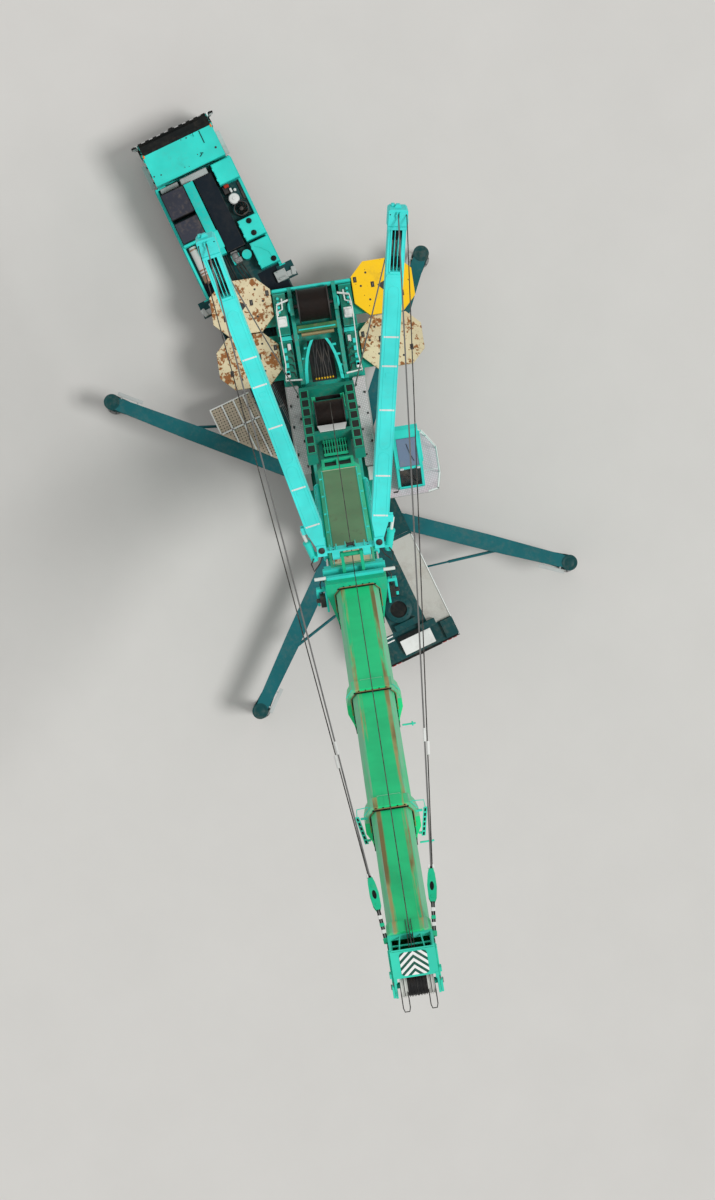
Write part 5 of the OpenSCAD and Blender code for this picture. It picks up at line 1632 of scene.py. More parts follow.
@dataclass
class OperatorCab(Assembly):
    """The operator's cab: panes in every opening, seat, levers, and the platform outside it."""

    body = "operator_cabin"
    frame = UPPER
    back: float = -1.55
    inner: float = 2.0
    floor: float = FLOOR_TOP
    length: float = 2.15
    width: float = 0.94
    height: float = 2.15
    roof: float = 1.5
    brow: float = 1.25

    def slope(self, along: float, off: float) -> tuple[float, float]:
        """Gives a place on the sloping windscreen.

        Args:
            along: distance from the roof's front edge down the slope.
            off: distance outwards from the screen.

        Returns:
            Its x and z in the superstructure's frame.
        """
        run, drop = self.length - self.roof, self.height - self.brow
        u = np.array([run, -drop]) / hypot(run, drop)
        x, z = np.array([self.back + self.roof,
            self.floor + self.height]) + along * u + off * np.array([-u[1], u[0]])
        return (float(x), float(z))

    def glass(self) -> None:
        """Panes in the roof, windscreen, lower front, back and inner side."""
        x, y0, y1, z = self.back, self.inner, self.inner + self.width, self.floor
        # The roof pane's pale blue colour is a painted reflection of the sky.
        self.piece("operator_roof_pane", SKY_REFLECTION_GLASS).box((x + 0.46, y0 + 0.13, z + 2.122),
            (x + 1.44, y1 - 0.13, z + 2.134), 0.003)
        panes = self.piece("operator_panes", GLASS)
        corners = [self.slope(0.08, -0.022), self.slope(1.04, -0.022), self.slope(1.04, -0.01),
                   self.slope(0.08, -0.01)]
        panes.plate([(c[1], c[0]) for c in corners], y0 + 0.1, y1 - 0.1, Y)
        panes.boxes((x + 2.122, y0 + 0.1, z + 0.36, x + 2.134, y1 - 0.1, z + 1.13, 0.003),
                    (x + 0.016, y0 + 0.13, z + 1.01, x + 0.028, y1 - 0.13, z + 1.84, 0.003),
                    (x + 0.41, y0 + 0.016, z + 1.01, x + 1.34, y0 + 0.028, z + 1.89, 0.003))

    def seat(self) -> None:
        """Padded seat with arm rests, levers, pedals and a screen."""
        x, y, z = self.back + 0.55, self.inner + 0.46, self.floor
        seat = self.piece("operator_seat", SEAT)
        seat.box((x, y - 0.25, z + 0.44), (x + 0.52, y + 0.25, z + 0.58), 0.05)
        seat.box((x - 0.12, y - 0.23, z + 0.54), (x + 0.02, y + 0.23, z + 1.18), 0.05, turn_about(Y, -8))
        seat.box((x - 0.13, y - 0.13, z + 1.18), (x - 0.04, y + 0.13, z + 1.38), 0.04, turn_about(Y, -8))
        trim = self.piece("operator_controls", HOSE)
        trim.box((x + 0.08, y - 0.16, z + 0.05), (x + 0.42, y + 0.16, z + 0.44), 0.03)
        for side in SIDES:
            trim.box((x + 0.05, y + side * 0.29, z + 0.66), (x + 0.5, y + side * 0.37, z + 0.76), 0.02)
            trim.tube([(x + 0.46, y + side * 0.33, z + 0.74), (x + 0.48, y + side * 0.33, z + 0.9)],
                      0.014, 8)
            trim.lathe([(0, 0), (0.022, 0.012), (0.026, 0.04), (0.016, 0.065), (0, 0.07)],
                       (x + 0.48, y + side * 0.33, z + 0.89), Z, 12)
            trim.box((x + 1.15, y + side * 0.12, z + 0.06), (x + 1.33, y + side * 0.24, z + 0.1), 0.01,
                     turn_about(Y, -18))
        trim.box((x + 1.05, self.inner + 0.08, z + 0.52), (x + 1.15, self.inner + 0.34, z + 0.8), 0.02,
                 turn_about(Y, 24))

    def outside(self) -> None:
        """Wipers, seams, rear roof panel's edge, lamps and a mirror on the cab."""
        y, z, top = self.inner, self.floor, self.floor + self.height
        arms = self.piece("operator_wipers", HOSE)
        for start, end, y0, y1 in ((0.12, 0.62, y + 0.46, y + 0.58), (0.4, 0.98, y + 0.3, y + 0.74)):
            (xa, za), (xb, zb) = self.slope(start, 0.02), self.slope(end, 0.02)
            arms.tube([(xa, y0, za), ((xa + xb) / 2, (y0 + y1) / 2, (za + zb) / 2 + 0.01), (xb, y1, zb)],
                      0.011, 6)
        arms.tube([(-0.9, y + 0.46, top + 0.004), (-0.56, y + 0.54, top + 0.016),
                   (-0.26, y + 0.66, top + 0.006)], 0.01, 6)
        arms.tube([(0.55, y + 0.05, z + 1.3), (0.72, y - 0.06, z + 1.42), (0.72, y - 0.12, z + 1.6)],
                  0.012, 6)
        arms.box((0.69, y - 0.22, z + 1.58), (0.74, y - 0.04, z + 1.92), 0.02)
        seams = self.piece("operator_seams", TURQUOISE)
        seams.boxes((-1.4, y + 0.02, top - 0.002, -1.37, y + 0.92, top + 0.01, 0.004),
                    (-1.13, y + 0.02, top - 0.002, -1.1, y + 0.92, top + 0.014, 0.004),
                    (-0.085, y + 0.02, top - 0.01, -0.04, y + 0.92, top + 0.014, 0.006))
        for yy in (y + 0.085, y + 0.835):
            seams.box((-1.12, yy, top - 0.002), (-0.06, yy + 0.022, top + 0.012), 0.004)
        lamps = self.piece("operator_lamps", CLEAR_LAMP)
        for yy in (y + 0.12, y + 0.7):
            lamps.box((-0.05, yy, top + 0.012), (0.02, yy + 0.13, top + 0.1), 0.012)

    def platform(self) -> None:
        """Tread, white edge and middle seam on the platform outside the cab, and its folding rail."""
        outline = [(-1.53, 1.47), (0.83, 1.47), (0.83, 3.06), (0.755, 3.435), (0.185, 3.58),
                   (-0.725, 3.58), (-1.225, 3.235), (-1.53, 2.93)]
        top = FLOOR_TOP
        self.piece("platform_tread", PLATFORM_GREY, body="superstructure").plate(
            outline, top - 0.004, top + 0.006, Z)
        edge = self.piece("platform_edge", WHITE, body="superstructure")
        loop = outline[2:]
        for a, b in zip(loop[:-1], loop[1:]):
            along = np.subtract(b, a)
            off = np.array([along[1], -along[0]]) / np.hypot(*along) * 0.055
            edge.plate(np.array([a - off, b - off, b, a]), top, top + 0.03, Z)
        edge.box((0.035, 3.0, top + 0.004), (0.055, 3.57, top + 0.016), 0.003)
        rail = self.piece("platform_rail", WHITE, body="superstructure")
        posts = [(-1.35, 3.08), (-1.16, 3.23), (-0.7, 3.53), (0.17, 3.53)]
        rail.tube([(x, y, top + 1.0) for x, y in posts], 0.018, 8)
        rail.tube([(x, y, top + 0.5) for x, y in posts], 0.014, 8)
        for x, y in posts:
            rail.tube([(x, y, top), (x, y, top + 1.0)], 0.016, 8)

    def make(self) -> None:
        """Makes the cab's pieces."""
        self.glass()
        self.seat()
        self.outside()
        self.platform()
        self.piece("operator_door_pane", GLASS, body="operator_cabin_door").box((-1.15, 2.975, 3.52),
            (-0.4, 2.985, 4.48), 0.003)
        self.piece("operator_door_handle", BLACK, body="operator_cabin_door").box((-0.36, 2.99, 3.55),
            (-0.33, 3.02, 3.8), 0.006)


@dataclass
class Counterweight(Assembly):
    """Lifting eyes, pockets, holes and seams on the four slabs."""

    body = "superstructure"
    frame = UPPER
    reach: tuple = (((-5.65, -3.78), (1.455, 3.68), 2.8803), ((-7.6, -5.68), (1.455, 3.62), 3.2106))

    def make(self) -> None:
        """Shapes the pockets and holes as dark sheets painted as their shade, and the lifting eyes and
        seams of each slab.
        """
        # Pockets and holes are dark sheets painted as the shade in them.
        dark = self.piece("slab_pockets", DARK_STEEL)
        eyes = self.piece("slab_eyes", STEEL)
        seams = self.piece("slab_seams", DARK_STEEL)
        for side in SIDES:
            for (x0, x1), (y0, y1), top in self.reach:
                mx, my = (x0 + x1) / 2, (y0 + y1) / 2
                for x, y in ((mx - 0.1, y0 + 0.72), (mx + 0.35, y1 - 0.45), (mx - 0.35, y0 + 0.12)):
                    dark.box((x - 0.1, side * y - 0.06, top - 0.002),
                             (x + 0.1, side * y + 0.06, top + 0.006), 0.003)
                    a = np.linspace(0, pi, 9)
                    eyes.tube(np.stack([x + 0.055 * np.cos(a), np.full(9, side * y),
                        top + 0.06 * np.sin(a)], -1), 0.012, 8)
                dark.plate([(mx - 0.2, side * (my + 0.13)), (mx + 0.2, side * (my + 0.05)),
                            (mx - 0.06, side * (my - 0.2))], top - 0.002, top + 0.005, Z)
                for dx, dy in ((-0.62, 0.3), (0.6, 0.34), (-0.1, -0.78), (0.42, -0.52), (-0.55, -0.55)):
                    dark.ring(0, 0.04, 0, 0.006, (mx + dx, side * (my + dy), top - 0.001), Z, 10)
                for k in range(3):
                    z = top - 0.33 * (k + 1) / 3.3
                    seams.box((x0 + 0.5, side * y1 - 0.004, z), (x1 - 0.5, side * y1 + 0.004, z + 0.012),
                              0.002)


@dataclass
class SidePlatform(Assembly):
    """The folding platform beside the carrier: its perforation, white lines and raised edge."""

    body = "folding_platform"
    inner: float = 1.58
    outer: float = 3.12
    top: float = 2.315

    def start(self, y: float) -> float:
        """Gives the x at which the slanted edge passes a distance from the carrier's middle."""
        return 1.6 + (y - 1.56) * 1.78 / 1.56

    def make(self) -> None:
        """Shapes the rows of holes as black discs painted as their shade, the strips between them and the
        edges.
        """
        # The perforation is black discs painted as the shade in the holes.
        holes = self.piece("platform_holes", BLACK)
        lines = self.piece("platform_lines", WHITE)
        for y in np.arange(self.inner + 0.07, self.outer - 0.05, 0.105):
            for x in np.arange(4.27, self.start(y) + 0.1, -0.105):
                holes.ring(0, 0.022, 0, 0.004, (x, y, self.top - 0.001), Z, 6)
        for y in (1.78, 2.17, 2.62):
            lines.box((self.start(y) + 0.05, y, self.top - 0.004), (4.32, y + 0.06, self.top + 0.01), 0.004)
        lines.boxes((3.34, self.inner, self.top - 0.004, 3.4, self.outer - 0.05, self.top + 0.01, 0.004),
                    (4.3, self.inner, self.top - 0.05, 4.345, self.outer, self.top + 0.012, 0.006),
                    (3.4, self.outer - 0.04, self.top - 0.05, 4.3, self.outer + 0.005, self.top + 0.012,
                     0.006))


# Boom


@dataclass
class BoomBase(Assembly):
    """What lies on the base section: winch frame's openings, rope bars, plates, cylinders and pins."""

    body = "boom"
    frame = BOOM
    top: float = RISE + SECTION_SIZES[0][1] / 2
    frame_top: float = RISE + SECTION_SIZES[0][1] / 2 + 0.35
    drum: tuple = (3.7, 1.95)

    def openings(self) -> None:
        """Rows of black plates painted as the shade in the openings of the winch frame's two top plates,
        with raised rims.
        """
        # Black plates painted as the shade inside the openings.
        dark = self.piece("frame_openings", BLACK)
        rim = self.piece("frame_rims", GREEN)
        n = self.frame_top
        for side in SIDES:
            for x in np.arange(1.22, 6.2, 0.74):
                length = 0.56
                y0, y1 = side * 0.68, side * 0.91
                dark.box((x, y0, n - 0.004), (x + length, y1, n + 0.006), 0.003)
                for a, b, c, d in ((x - 0.03, x, y0, y1), (x + length, x + length + 0.03, y0, y1),
                        (x - 0.03, x + length + 0.03, y0 - side * 0.025, y0),
                        (x - 0.03, x + length + 0.03, y1, y1 + side * 0.025)):
                    rim.box((a, c, n - 0.004), (b, d, n + 0.008), 0.003)

    def rope_layers(self) -> None:
        """Turns of rope on the front drum and its two flanges."""
        rope = self.piece("front_drum_rope", BROWN_ROPE, body="boom_winch")
        x, n = self.drum
        for k in range(26):
            y = -0.455 + 0.0364 * k
            rope.lathe([(0.446, -0.018), (0.468, -0.01), (0.474, 0.0), (0.468, 0.01), (0.446, 0.018)],
                       (x, y, n), Y, 44)
        flange = self.piece("front_drum_flanges", DARK_STEEL, body="boom_winch")
        for a, b in around(8, 0.26):
            flange.disc(0.02, 0.006, 0.008, (x + a, 0.497, n + b), Y, 6, both=True)
        for side in SIDES:
            flange.ring(0.2, 0.53, -0.0125, 0.0125, (x, side * 0.4845, n), Y, 44)

    def bars(self) -> None:
        """The comb of rope bars over a black plate painted as the shade under them, the plate and arms by
        the drum, and the cross frame.
        """
        # Black plates painted as shade: under the comb's bars, across the drum's opening and in the cross
        # frame's two holes.
        shade_plates = self.piece("rope_tray", BLACK)
        comb = self.piece("rope_comb", GREEN)
        white = self.piece("drum_plate", WHITE)
        green = self.piece("cross_frame", GREEN)
        shade_plates.box((4.94, -0.42, self.top - 0.002), (6.02, 0.42, self.top + 0.03), 0.01)
        for k in range(9):
            comb.tube([(4.95, -0.36 + 0.09 * k, self.top + 0.13),
                       (6.0, -0.36 + 0.09 * k, self.top + 0.13)], 0.017, 8)
        for x in (4.96, 5.48, 5.97):
            comb.box((x - 0.025, -0.41, self.top + 0.02), (x + 0.025, 0.41, self.top + 0.115), 0.006)
        white.plate([(4.3, -0.5), (4.75, -0.43), (4.75, 0.43), (4.3, 0.5)], 1.8, 1.835, Z)
        # Black plate painted as the shade of the drum's opening.
        shade_plates.box((3.17, -0.5, 2.26), (3.21, 0.5, 2.4), 0.01)
        green.boxes((3.15, 0.525, 1.92, 3.62, 0.555, 2.42, 0.01),
                    (3.19, 0.43, 2.24, 3.22, 0.525, 2.42, 0.008), both=True)
        for low, high in (((6.3, -0.54), (6.42, 0.54)), ((6.88, -0.54), (7.0, 0.54)),
                ((6.42, -0.54), (6.88, -0.44)), ((6.42, 0.44), (6.88, 0.54)),
                ((6.42, -0.05), (6.88, 0.05))):
            green.box((low[0], low[1], self.top - 0.004), (high[0], high[1], self.top + 0.09), 0.012)
        # Black plate painted as the shade in the cross frame's two holes.
        shade_plates.box((6.4, -0.46, self.top - 0.002), (6.9, 0.46, self.top + 0.012), 0.004)

    def top_plates(self) -> None:
        """Muted-green plate along the top, cream plate, cross lines, and beams before the masts."""
        self.piece("base_top_plate", Finish("muted_green", "green_paint", rgb(104, 146, 106), dust=0.6,
            grime=0.5, chips=0.3)).box(
                (7.08, -0.54, self.top - 0.004), (12.8, 0.54, self.top + 0.01), 0.005)
        self.piece("base_cream_plate", Slab("cream_worn", "slab_paint", rgb(226, 214, 176), roughness=0.6,
            dust=0.4, grime=0.4, flaked=0.55)).box(
                (12.97, -0.62, self.top - 0.004), (13.8, 0.62, self.top + 0.01), 0.005)
        # Black plate painted as the shade in the collar's recess.
        self.piece("collar_recess", BLACK).box(
            (14.6, -0.72, self.top - 0.004), (14.9, 0.72, self.top + 0.02), 0.008)
        lines = self.piece("base_cross_lines", CREAM_PLATE)
        beams = self.piece("mast_cross_beams", TURQUOISE)
        bolts = self.piece("mast_cross_pins", WHITE)
        for x in (7.02, 12.84, 13.86):
            lines.box((x, -0.6, self.top - 0.004), (x + 0.03, 0.6, self.top + 0.014), 0.004)
        beams.boxes((14.42, -0.98, self.top - 0.02, 14.58, 0.98, self.top + 0.23, 0.02),
                    (14.94, -0.9, self.top + 0.08, 15.12, 0.9, self.top + 0.24, 0.02))
        beams.boxes((14.9, 0.7, self.top - 0.28, 15.14, 0.9, self.top + 0.14, 0.015),
                    (14.02, 0.7, 1.12, 14.26, 0.93, self.top + 0.1, 0.015), both=True)
        bolts.disc(0.055, 0.36, 0.37, (15.02, 0.9, self.top + 0.2), Y, 20, both=True)
        for k in range(5):
            beams.box((7.6 + 1.3 * k, 0.6, self.top - 0.002), (7.68 + 1.3 * k, 0.69, self.top + 0.03),
                      0.006, both=True)
        beams.box((7.05, 0.565, self.top - 0.004), (13.9, 0.59, self.top + 0.035), 0.006, both=True)

    def cylinders(self) -> None:
        """Gland rings, rods, eyes and lines of the two cylinders beside the section."""
        green = self.piece("raising_cylinder_parts", TURQUOISE)
        chrome = self.piece("raising_cylinder_rods", CHROME)
        for side in SIDES:
            y = side * 0.79
            green.lathe([(0.083, 0), (0.105, 0), (0.105, 0.14), (0.06, 0.16), (0.05, 0.16), (0.05, 0.1)],
                        (12.36, y, RISE + 0.5), X, 24)
            green.ring(0.083, 0.1, 0, 0.1, (7.2, y, RISE + 0.5), X, 24)
            chrome.ring(0, 0.048, 0, 1.55, (12.5, y, RISE + 0.5), X, 20)
            green.box((14.0, y - 0.07, RISE + 0.4), (14.16, y + 0.07, RISE + 0.64), 0.02)
            green.tube([(7.3, y + side * 0.1, RISE + 0.58), (7.5, y + side * 0.11, RISE + 0.6),
                        (12.2, y + side * 0.11, RISE + 0.6), (12.36, y + side * 0.08, RISE + 0.57)],
                       0.014, 8)
            for x in np.arange(7.6, 12.2, 0.9):
                green.box((x, y - 0.1, RISE + 0.38), (x + 0.05, y + 0.1, RISE + 0.42), 0.006)

    def make(self) -> None:
        """Makes the base section's pieces."""
        self.openings()
        self.rope_layers()
        self.bars()
        self.top_plates()
        self.cylinders()


@dataclass
class Collars(Assembly):
    """Pads, lines, brackets and hoops at the ends of the sections, and the rope over them."""

    body = "boom"
    frame = BOOM

    def base_brackets(self) -> None:
        """Boxes with dark mechanism at both sides of the base collar, and its face's bolts."""
        box = self.piece("collar_brackets", TURQUOISE)
        dark = self.piece("collar_latches", HOSE)
        box.boxes((14.92, 0.935, 0.62, 15.36, 1.0, 1.3, 0.012),
                  (14.92, 0.99, 1.22, 15.1, 1.26, 1.32, 0.012),
                  (14.92, 1.19, 0.7, 15.04, 1.27, 1.24, 0.012), both=True)
        dark.box((15.05, 1.0, 0.78), (15.32, 1.17, 1.16), 0.02, both=True)
        dark.lathe([(0, 0), (0.07, 0), (0.07, 0.12), (0.04, 0.14), (0, 0.14)], (15.18, 1.16, 0.98), Y, 20,
                   both=True)
        dark.tube([(15.1, 1.08, 1.16), (15.0, 1.12, 1.44), (14.8, 1.05, 1.5), (14.6, 0.98, 1.3)], 0.02, 8,
                  both=True)

    def pads(self) -> None:
        """At each section's end: dark pads round the next section, pale rim line, weld and bolts."""
        bodies = ["boom", "boom_tube_1", "boom_tube_2"]
        for k in range(3):
            end, (w, d) = SECTION_ENDS[k], SECTION_SIZES[k + 1]
            black = self.piece(f"slide_pads_{k + 1}", BLACK, body=bodies[k])
            pale = self.piece(f"collar_lines_{k + 1}", BROWN_LINE, body=bodies[k])
            weld = self.piece(f"collar_weld_{k + 1}", WELD, body=bodies[k]) if k else Shape(BOOM)
            top, half = RISE + d / 2, w / 2
            black.box((end - 0.03, -half + 0.06, top + 0.006), (end + 0.05, half - 0.06, top + 0.036),
                      0.006)
            rim = [(half + 0.05, RISE + 0.1), (half + 0.05, top - 0.16), (half - 0.14, top + 0.055)]
            rim = rim + [(-y, n) for y, n in rim[::-1]]
            pale.tube([(end + 0.02, y, n) for y, n in rim], 0.014, 8)
            for z in (0.32, -0.15, -0.5):
                black.box((end - 0.02, half + 0.006, RISE + z),
                          (end + 0.05, half + 0.036, RISE + z + 0.22), 0.006, both=True)
            for side in SIDES:
                x = end - 0.66
                weld.box((x, side * 0.31, RISE + SECTION_SIZES[k][1] / 2 - 0.004),
                         (x + 0.16, side * 0.328, RISE + SECTION_SIZES[k][1] / 2 + 0.001), 0.001)
            weld.box((end - 0.68, -0.328, RISE + SECTION_SIZES[k][1] / 2 - 0.004),
                     (end - 0.655, 0.328, RISE + SECTION_SIZES[k][1] / 2 + 0.001), 0.001)
            for j in range(5):
                black.disc(0.022, 0.02, 0.024, (end, -0.4 + 0.2 * j, top + 0.075), X, 6)

    def ribs(self) -> None:
        """Slotted plates beside the outermost collar, their slots black strips painted as the shade in
        them, with their rods, and both collars' small arms.
        """
        for k, body in ((1, "boom_tube_1"), (2, "boom_tube_2")):
            end, ears, top = SECTION_ENDS[k], COLLARS[k][2], RISE + SECTION_SIZES[k][1] / 2
            # The slots are black strips painted as the shade in them.
            dark = self.piece("side_plate_slots", BLACK, body=body) if k == 2 else Shape(BOOM)
            plates = self.piece(f"collar_arms_{k}", HEAD_GREEN, body=body)
            rods = self.piece(f"collar_rods_{k}", HEAD_GREEN, body=body)
            rods.tube([(end - 0.05, ears - 0.25, top + 0.05), (end + 0.03, ears - 0.2, top + 0.09),
                       (end + 0.03, ears - 0.02, top - 0.14)], 0.014, 8, both=True)
            plates.boxes((end - 0.06, ears - 0.1, RISE - 0.5, end - 0.01, ears + 0.3, RISE - 0.455, 0.01),
                         (end - 0.07, ears + 0.18, RISE - 0.54, end, ears + 0.23, RISE - 0.41, 0.01))
            if k == 2:
                rods.tube([(end + 0.01, 0.58, top + 0.04), (end + 0.02, 0.62, top + 0.11),
                           (end + 0.02, 0.93, top + 0.08), (end + 0.02, 0.95, top - 0.17)], 0.014, 8,
                          both=True)
                for side in SIDES:
                    high, low = np.array([0.95, top - 0.16]), np.array([0.79, top - 1.06])
                    step = (low - high) / 6
                    wide = np.array([0.055, 0.0])
                    outline = [high - wide, high + wide, low + wide, low - wide]
                    plates.plate([(side * y, n) for y, n in outline], end, end + 0.03, X)
                    for j in range(6):
                        a, b = high + step * (j + 0.18), high + step * (j + 0.82)
                        slot = [a - wide * 0.45, a + wide * 0.45, b + wide * 0.45, b - wide * 0.45]
                        dark.plate([(side * y, n) for y, n in slot], end + 0.026, end + 0.036, X)
                    for n in (high[1] - 0.1, low[1] + 0.08):
                        plates.box((end - 0.05, side * (ears - 0.1), n - 0.03),
                                   (end + 0.005, side * 0.86, n + 0.03), 0.008)

    def rope(self) -> None:
        """The hoist rope over the boom: one straight length on each section."""
        line = 1.66
        spans = [("boom", [(3.78, 0.05, 2.42), (14.6, 0.01, 1.88), (15.4, 0.0, line + 0.18)]),
                 ("boom_tube_1", [(15.4, 0.0, line + 0.18), (21.9, 0.0, line + 0.1)]),
                 ("boom_tube_2", [(21.9, 0.0, line + 0.1), (28.4, 0.0, line + 0.02)]),
                 ("boom_tube_3", [(28.4, 0.0, line + 0.02), (BOOM_END + 0.25, 0.0, line - 0.04)])]
        for k, (body, path) in enumerate(spans):
            self.piece(f"hoist_rope_{k}", ROPE, body=body).tube(path, 0.014, 8)

    def make(self) -> None:
        """Makes the collars' pieces."""
        self.base_brackets()
        self.pads()
        self.ribs()
        self.rope()


@dataclass
class BoomHead(Assembly):
    """Chevron plate, cheeks' edges, top sheave, sheave grooves, side boxes and hoops of the head."""

    body = "boom_tube_3"
    frame = BOOM
    end: float = BOOM_END

    def plates(self) -> None:
        """Warning panel with cut corners on the end plate, and the gap's bars, cap strips and gussets."""
        x, end = self.end + HEAD_LENGTH, self.end
        half = [(0.36, 0.5), (0.36, 1.04), (0.335, 1.1), (0.27, 1.14)]
        half = [(0.27, 0.42), (0.335, 0.45), *half]
        self.piece("head_panel", Chevrons("head_chevrons", "grey_paint", rgb(36, 92, 78), dust=0.1,
            grime=0.2, chips=0.1, frame=BOOM, across=1, rise=2, pitch=0.21)).plate(
                half + [(-y, n) for y, n in half[::-1]], x - 0.004, x + 0.016, X)
        green = self.piece("head_gussets", HEAD_GREEN)
        dark = self.piece("head_guides", DARK_STEEL)
        green.boxes((end - 0.05, 0.5, 1.02, end + 0.6, 0.54, 1.14, 0.01),
                    (x - 0.012, 0.585, 0.22, x + 0.012, 0.5, 0.4, 0.004), both=True)
        green.tube([(end - 0.02, 0.27, 1.2), (end + 0.34, 0.3, 1.19), (end + 0.6, 0.33, 1.12)], 0.02, 8,
                   both=True)
        dark.disc(0.06, 0.03, 0.035, (end + 0.3, HEAD_WIDTH / 2, 1.08), Y, 20, both=True)
        for side in SIDES:
            y = side * (HEAD_WIDTH / 2 + 0.002)
            green.boxes((end + 0.06, y, 0.95, end + 0.62, y + side * 0.03, 1.05, 0.008),
                        (end + 0.24, y, -0.3, end + 0.34, y + side * 0.05, 0.95, 0.01),
                        (x - 0.24, y, 0.32, x - 0.08, y + side * 0.09, 0.46, 0.012),
                        (x - 0.22, y, -0.3, x - 0.08, y + side * 0.07, 0.06, 0.012))
        green.boxes((end + 0.04, -0.56, 1.1, end + 0.07, 0.56, 1.17, 0.008),
                    (end + 0.3, -0.5, 1.06, end + 0.335, 0.5, 1.11, 0.008),
                    (x - 0.02, -0.56, 1.2, x + 0.012, 0.56, 1.235, 0.008))
        for y in (-0.07, 0.0, 0.07):
            dark.lathe([(0.02, -0.012), (0.12, -0.012), (0.105, 0.0), (0.12, 0.012), (0.02, 0.012)],
                       (end + 0.22, y, 1.2), Y, 28)
            dark.tube([(end - 0.5, y, 1.32), (end + 0.22, y, 1.325), (end + 0.6, y, 1.16)], 0.011, 6)

    def sheaves(self) -> None:
        """Grooved rims on the sheave stack: two wide silver pairs at its ends and dark ones between."""
        x, n = self.end + 0.5003, RISE - 0.5
        pale = self.piece("sheave_rims_pale", SILVER, body="sheave_set")
        dark = self.piece("sheave_rims_dark", HOSE, body="sheave_set")
        groove = [(0.295, -0.95), (0.343, -0.85), (0.343, -0.6), (0.312, -0.2), (0.312, 0.2),
                  (0.343, 0.6), (0.343, 0.85), (0.295, 0.95)]
        for side in SIDES:
            for y in (0.3, 0.4):
                pale.lathe([(r, h * 0.044) for r, h in groove], (x, side * y, n), Y, 36)
        for k in range(6):
            dark.lathe([(r - 0.004, h * 0.038) for r, h in groove], (x, -0.2 + 0.08 * k, n), Y, 36)
        rope = self.piece("head_rope", ROPE)
        a = np.linspace(radians(96), radians(-50), 12)
        rope.tube(np.stack([x + 0.318 * np.cos(a), np.full(12, 0.0), n + 0.318 * np.sin(a)], -1), 0.013, 8)
        rope.tube([(self.end + 0.24, 0, 1.61), (self.end + 0.42, 0, 1.54), (self.end + 0.5, 0, 1.36),
                   (self.end + 0.505, 0, 1.2)], 0.013, 8)

    def hoops(self) -> None:
        """Two long wire hoops that hang beyond the silver sheaves, and the lower pin's collars."""
        wire = self.piece("head_hoops", DARK_STEEL)
        caps = self.piece("head_pin_caps", STEEL)
        caps.ring(0.046, 0.075, 0, 0.03, (self.end + 0.16, 0.66, RISE - 0.76), Y, 24, both=True)
        caps.lathe([(0, 0), (0.1, 0), (0.1, 0.03), (0.05, 0.045), (0, 0.045)],
                   (self.end + 0.5003, 0.59, 0.0), Y, 28, both=True)
        for side in SIDES:
            x, y = self.end + 0.72, side * 0.36
            legs = [(x - 0.04, y - 0.08, 0.16), (x + 0.14, y - 0.09, -0.05), (x + 0.14, y - 0.09, -0.48),
                    (x + 0.12, y - 0.06, -0.62)]
            path = [*legs, *[(a, 2 * y - b, n) for a, b, n in legs[::-1]]]
            wire.tube(path, 0.014, 8)

    def make(self) -> None:
        """Makes the head's pieces."""
        self.plates()
        self.sheaves()
        self.hoops()


@dataclass
class LiftCylinder(Assembly):
    """Gland, bolts and pipes on the lifting cylinder's barrel."""

    body = "lift_barrel"
    frame = UPPER
    foot: tuple = (-0.6, 0.0, 2.96)
    angle: float = 67.993
    reach: float = 4.3

    def make(self) -> None:
        """Makes the gland ring with its bolts, and the pipes along the barrel."""
        frame = UPPER.inner(turn_about(Y, -self.angle), self.foot)
        ring = self.piece("barrel_gland", TURQUOISE, frame=frame)
        pipes = self.piece("barrel_pipes", STEEL, frame=frame)
        reach = self.reach
        ring.ring(0.251, 0.285, -0.22, 0.0, (reach, 0, 0), X, 44)
        for y, z in around(12, 0.268):
            ring.disc(0.02, 0.012, 0.014, (reach, y, z), X, 6)
        pipes.tube([(0.75, 0.12, 0.3), (0.9, 0.13, 0.315), (reach - 0.5, 0.13, 0.315),
                    (reach - 0.3, 0.12, 0.29)], 0.025, 8, both=True)
        for x in np.arange(1.1, reach - 0.4, 0.7):
            pipes.box((x, -0.18, 0.235), (x + 0.06, 0.18, 0.345), 0.01)


# Guying masts


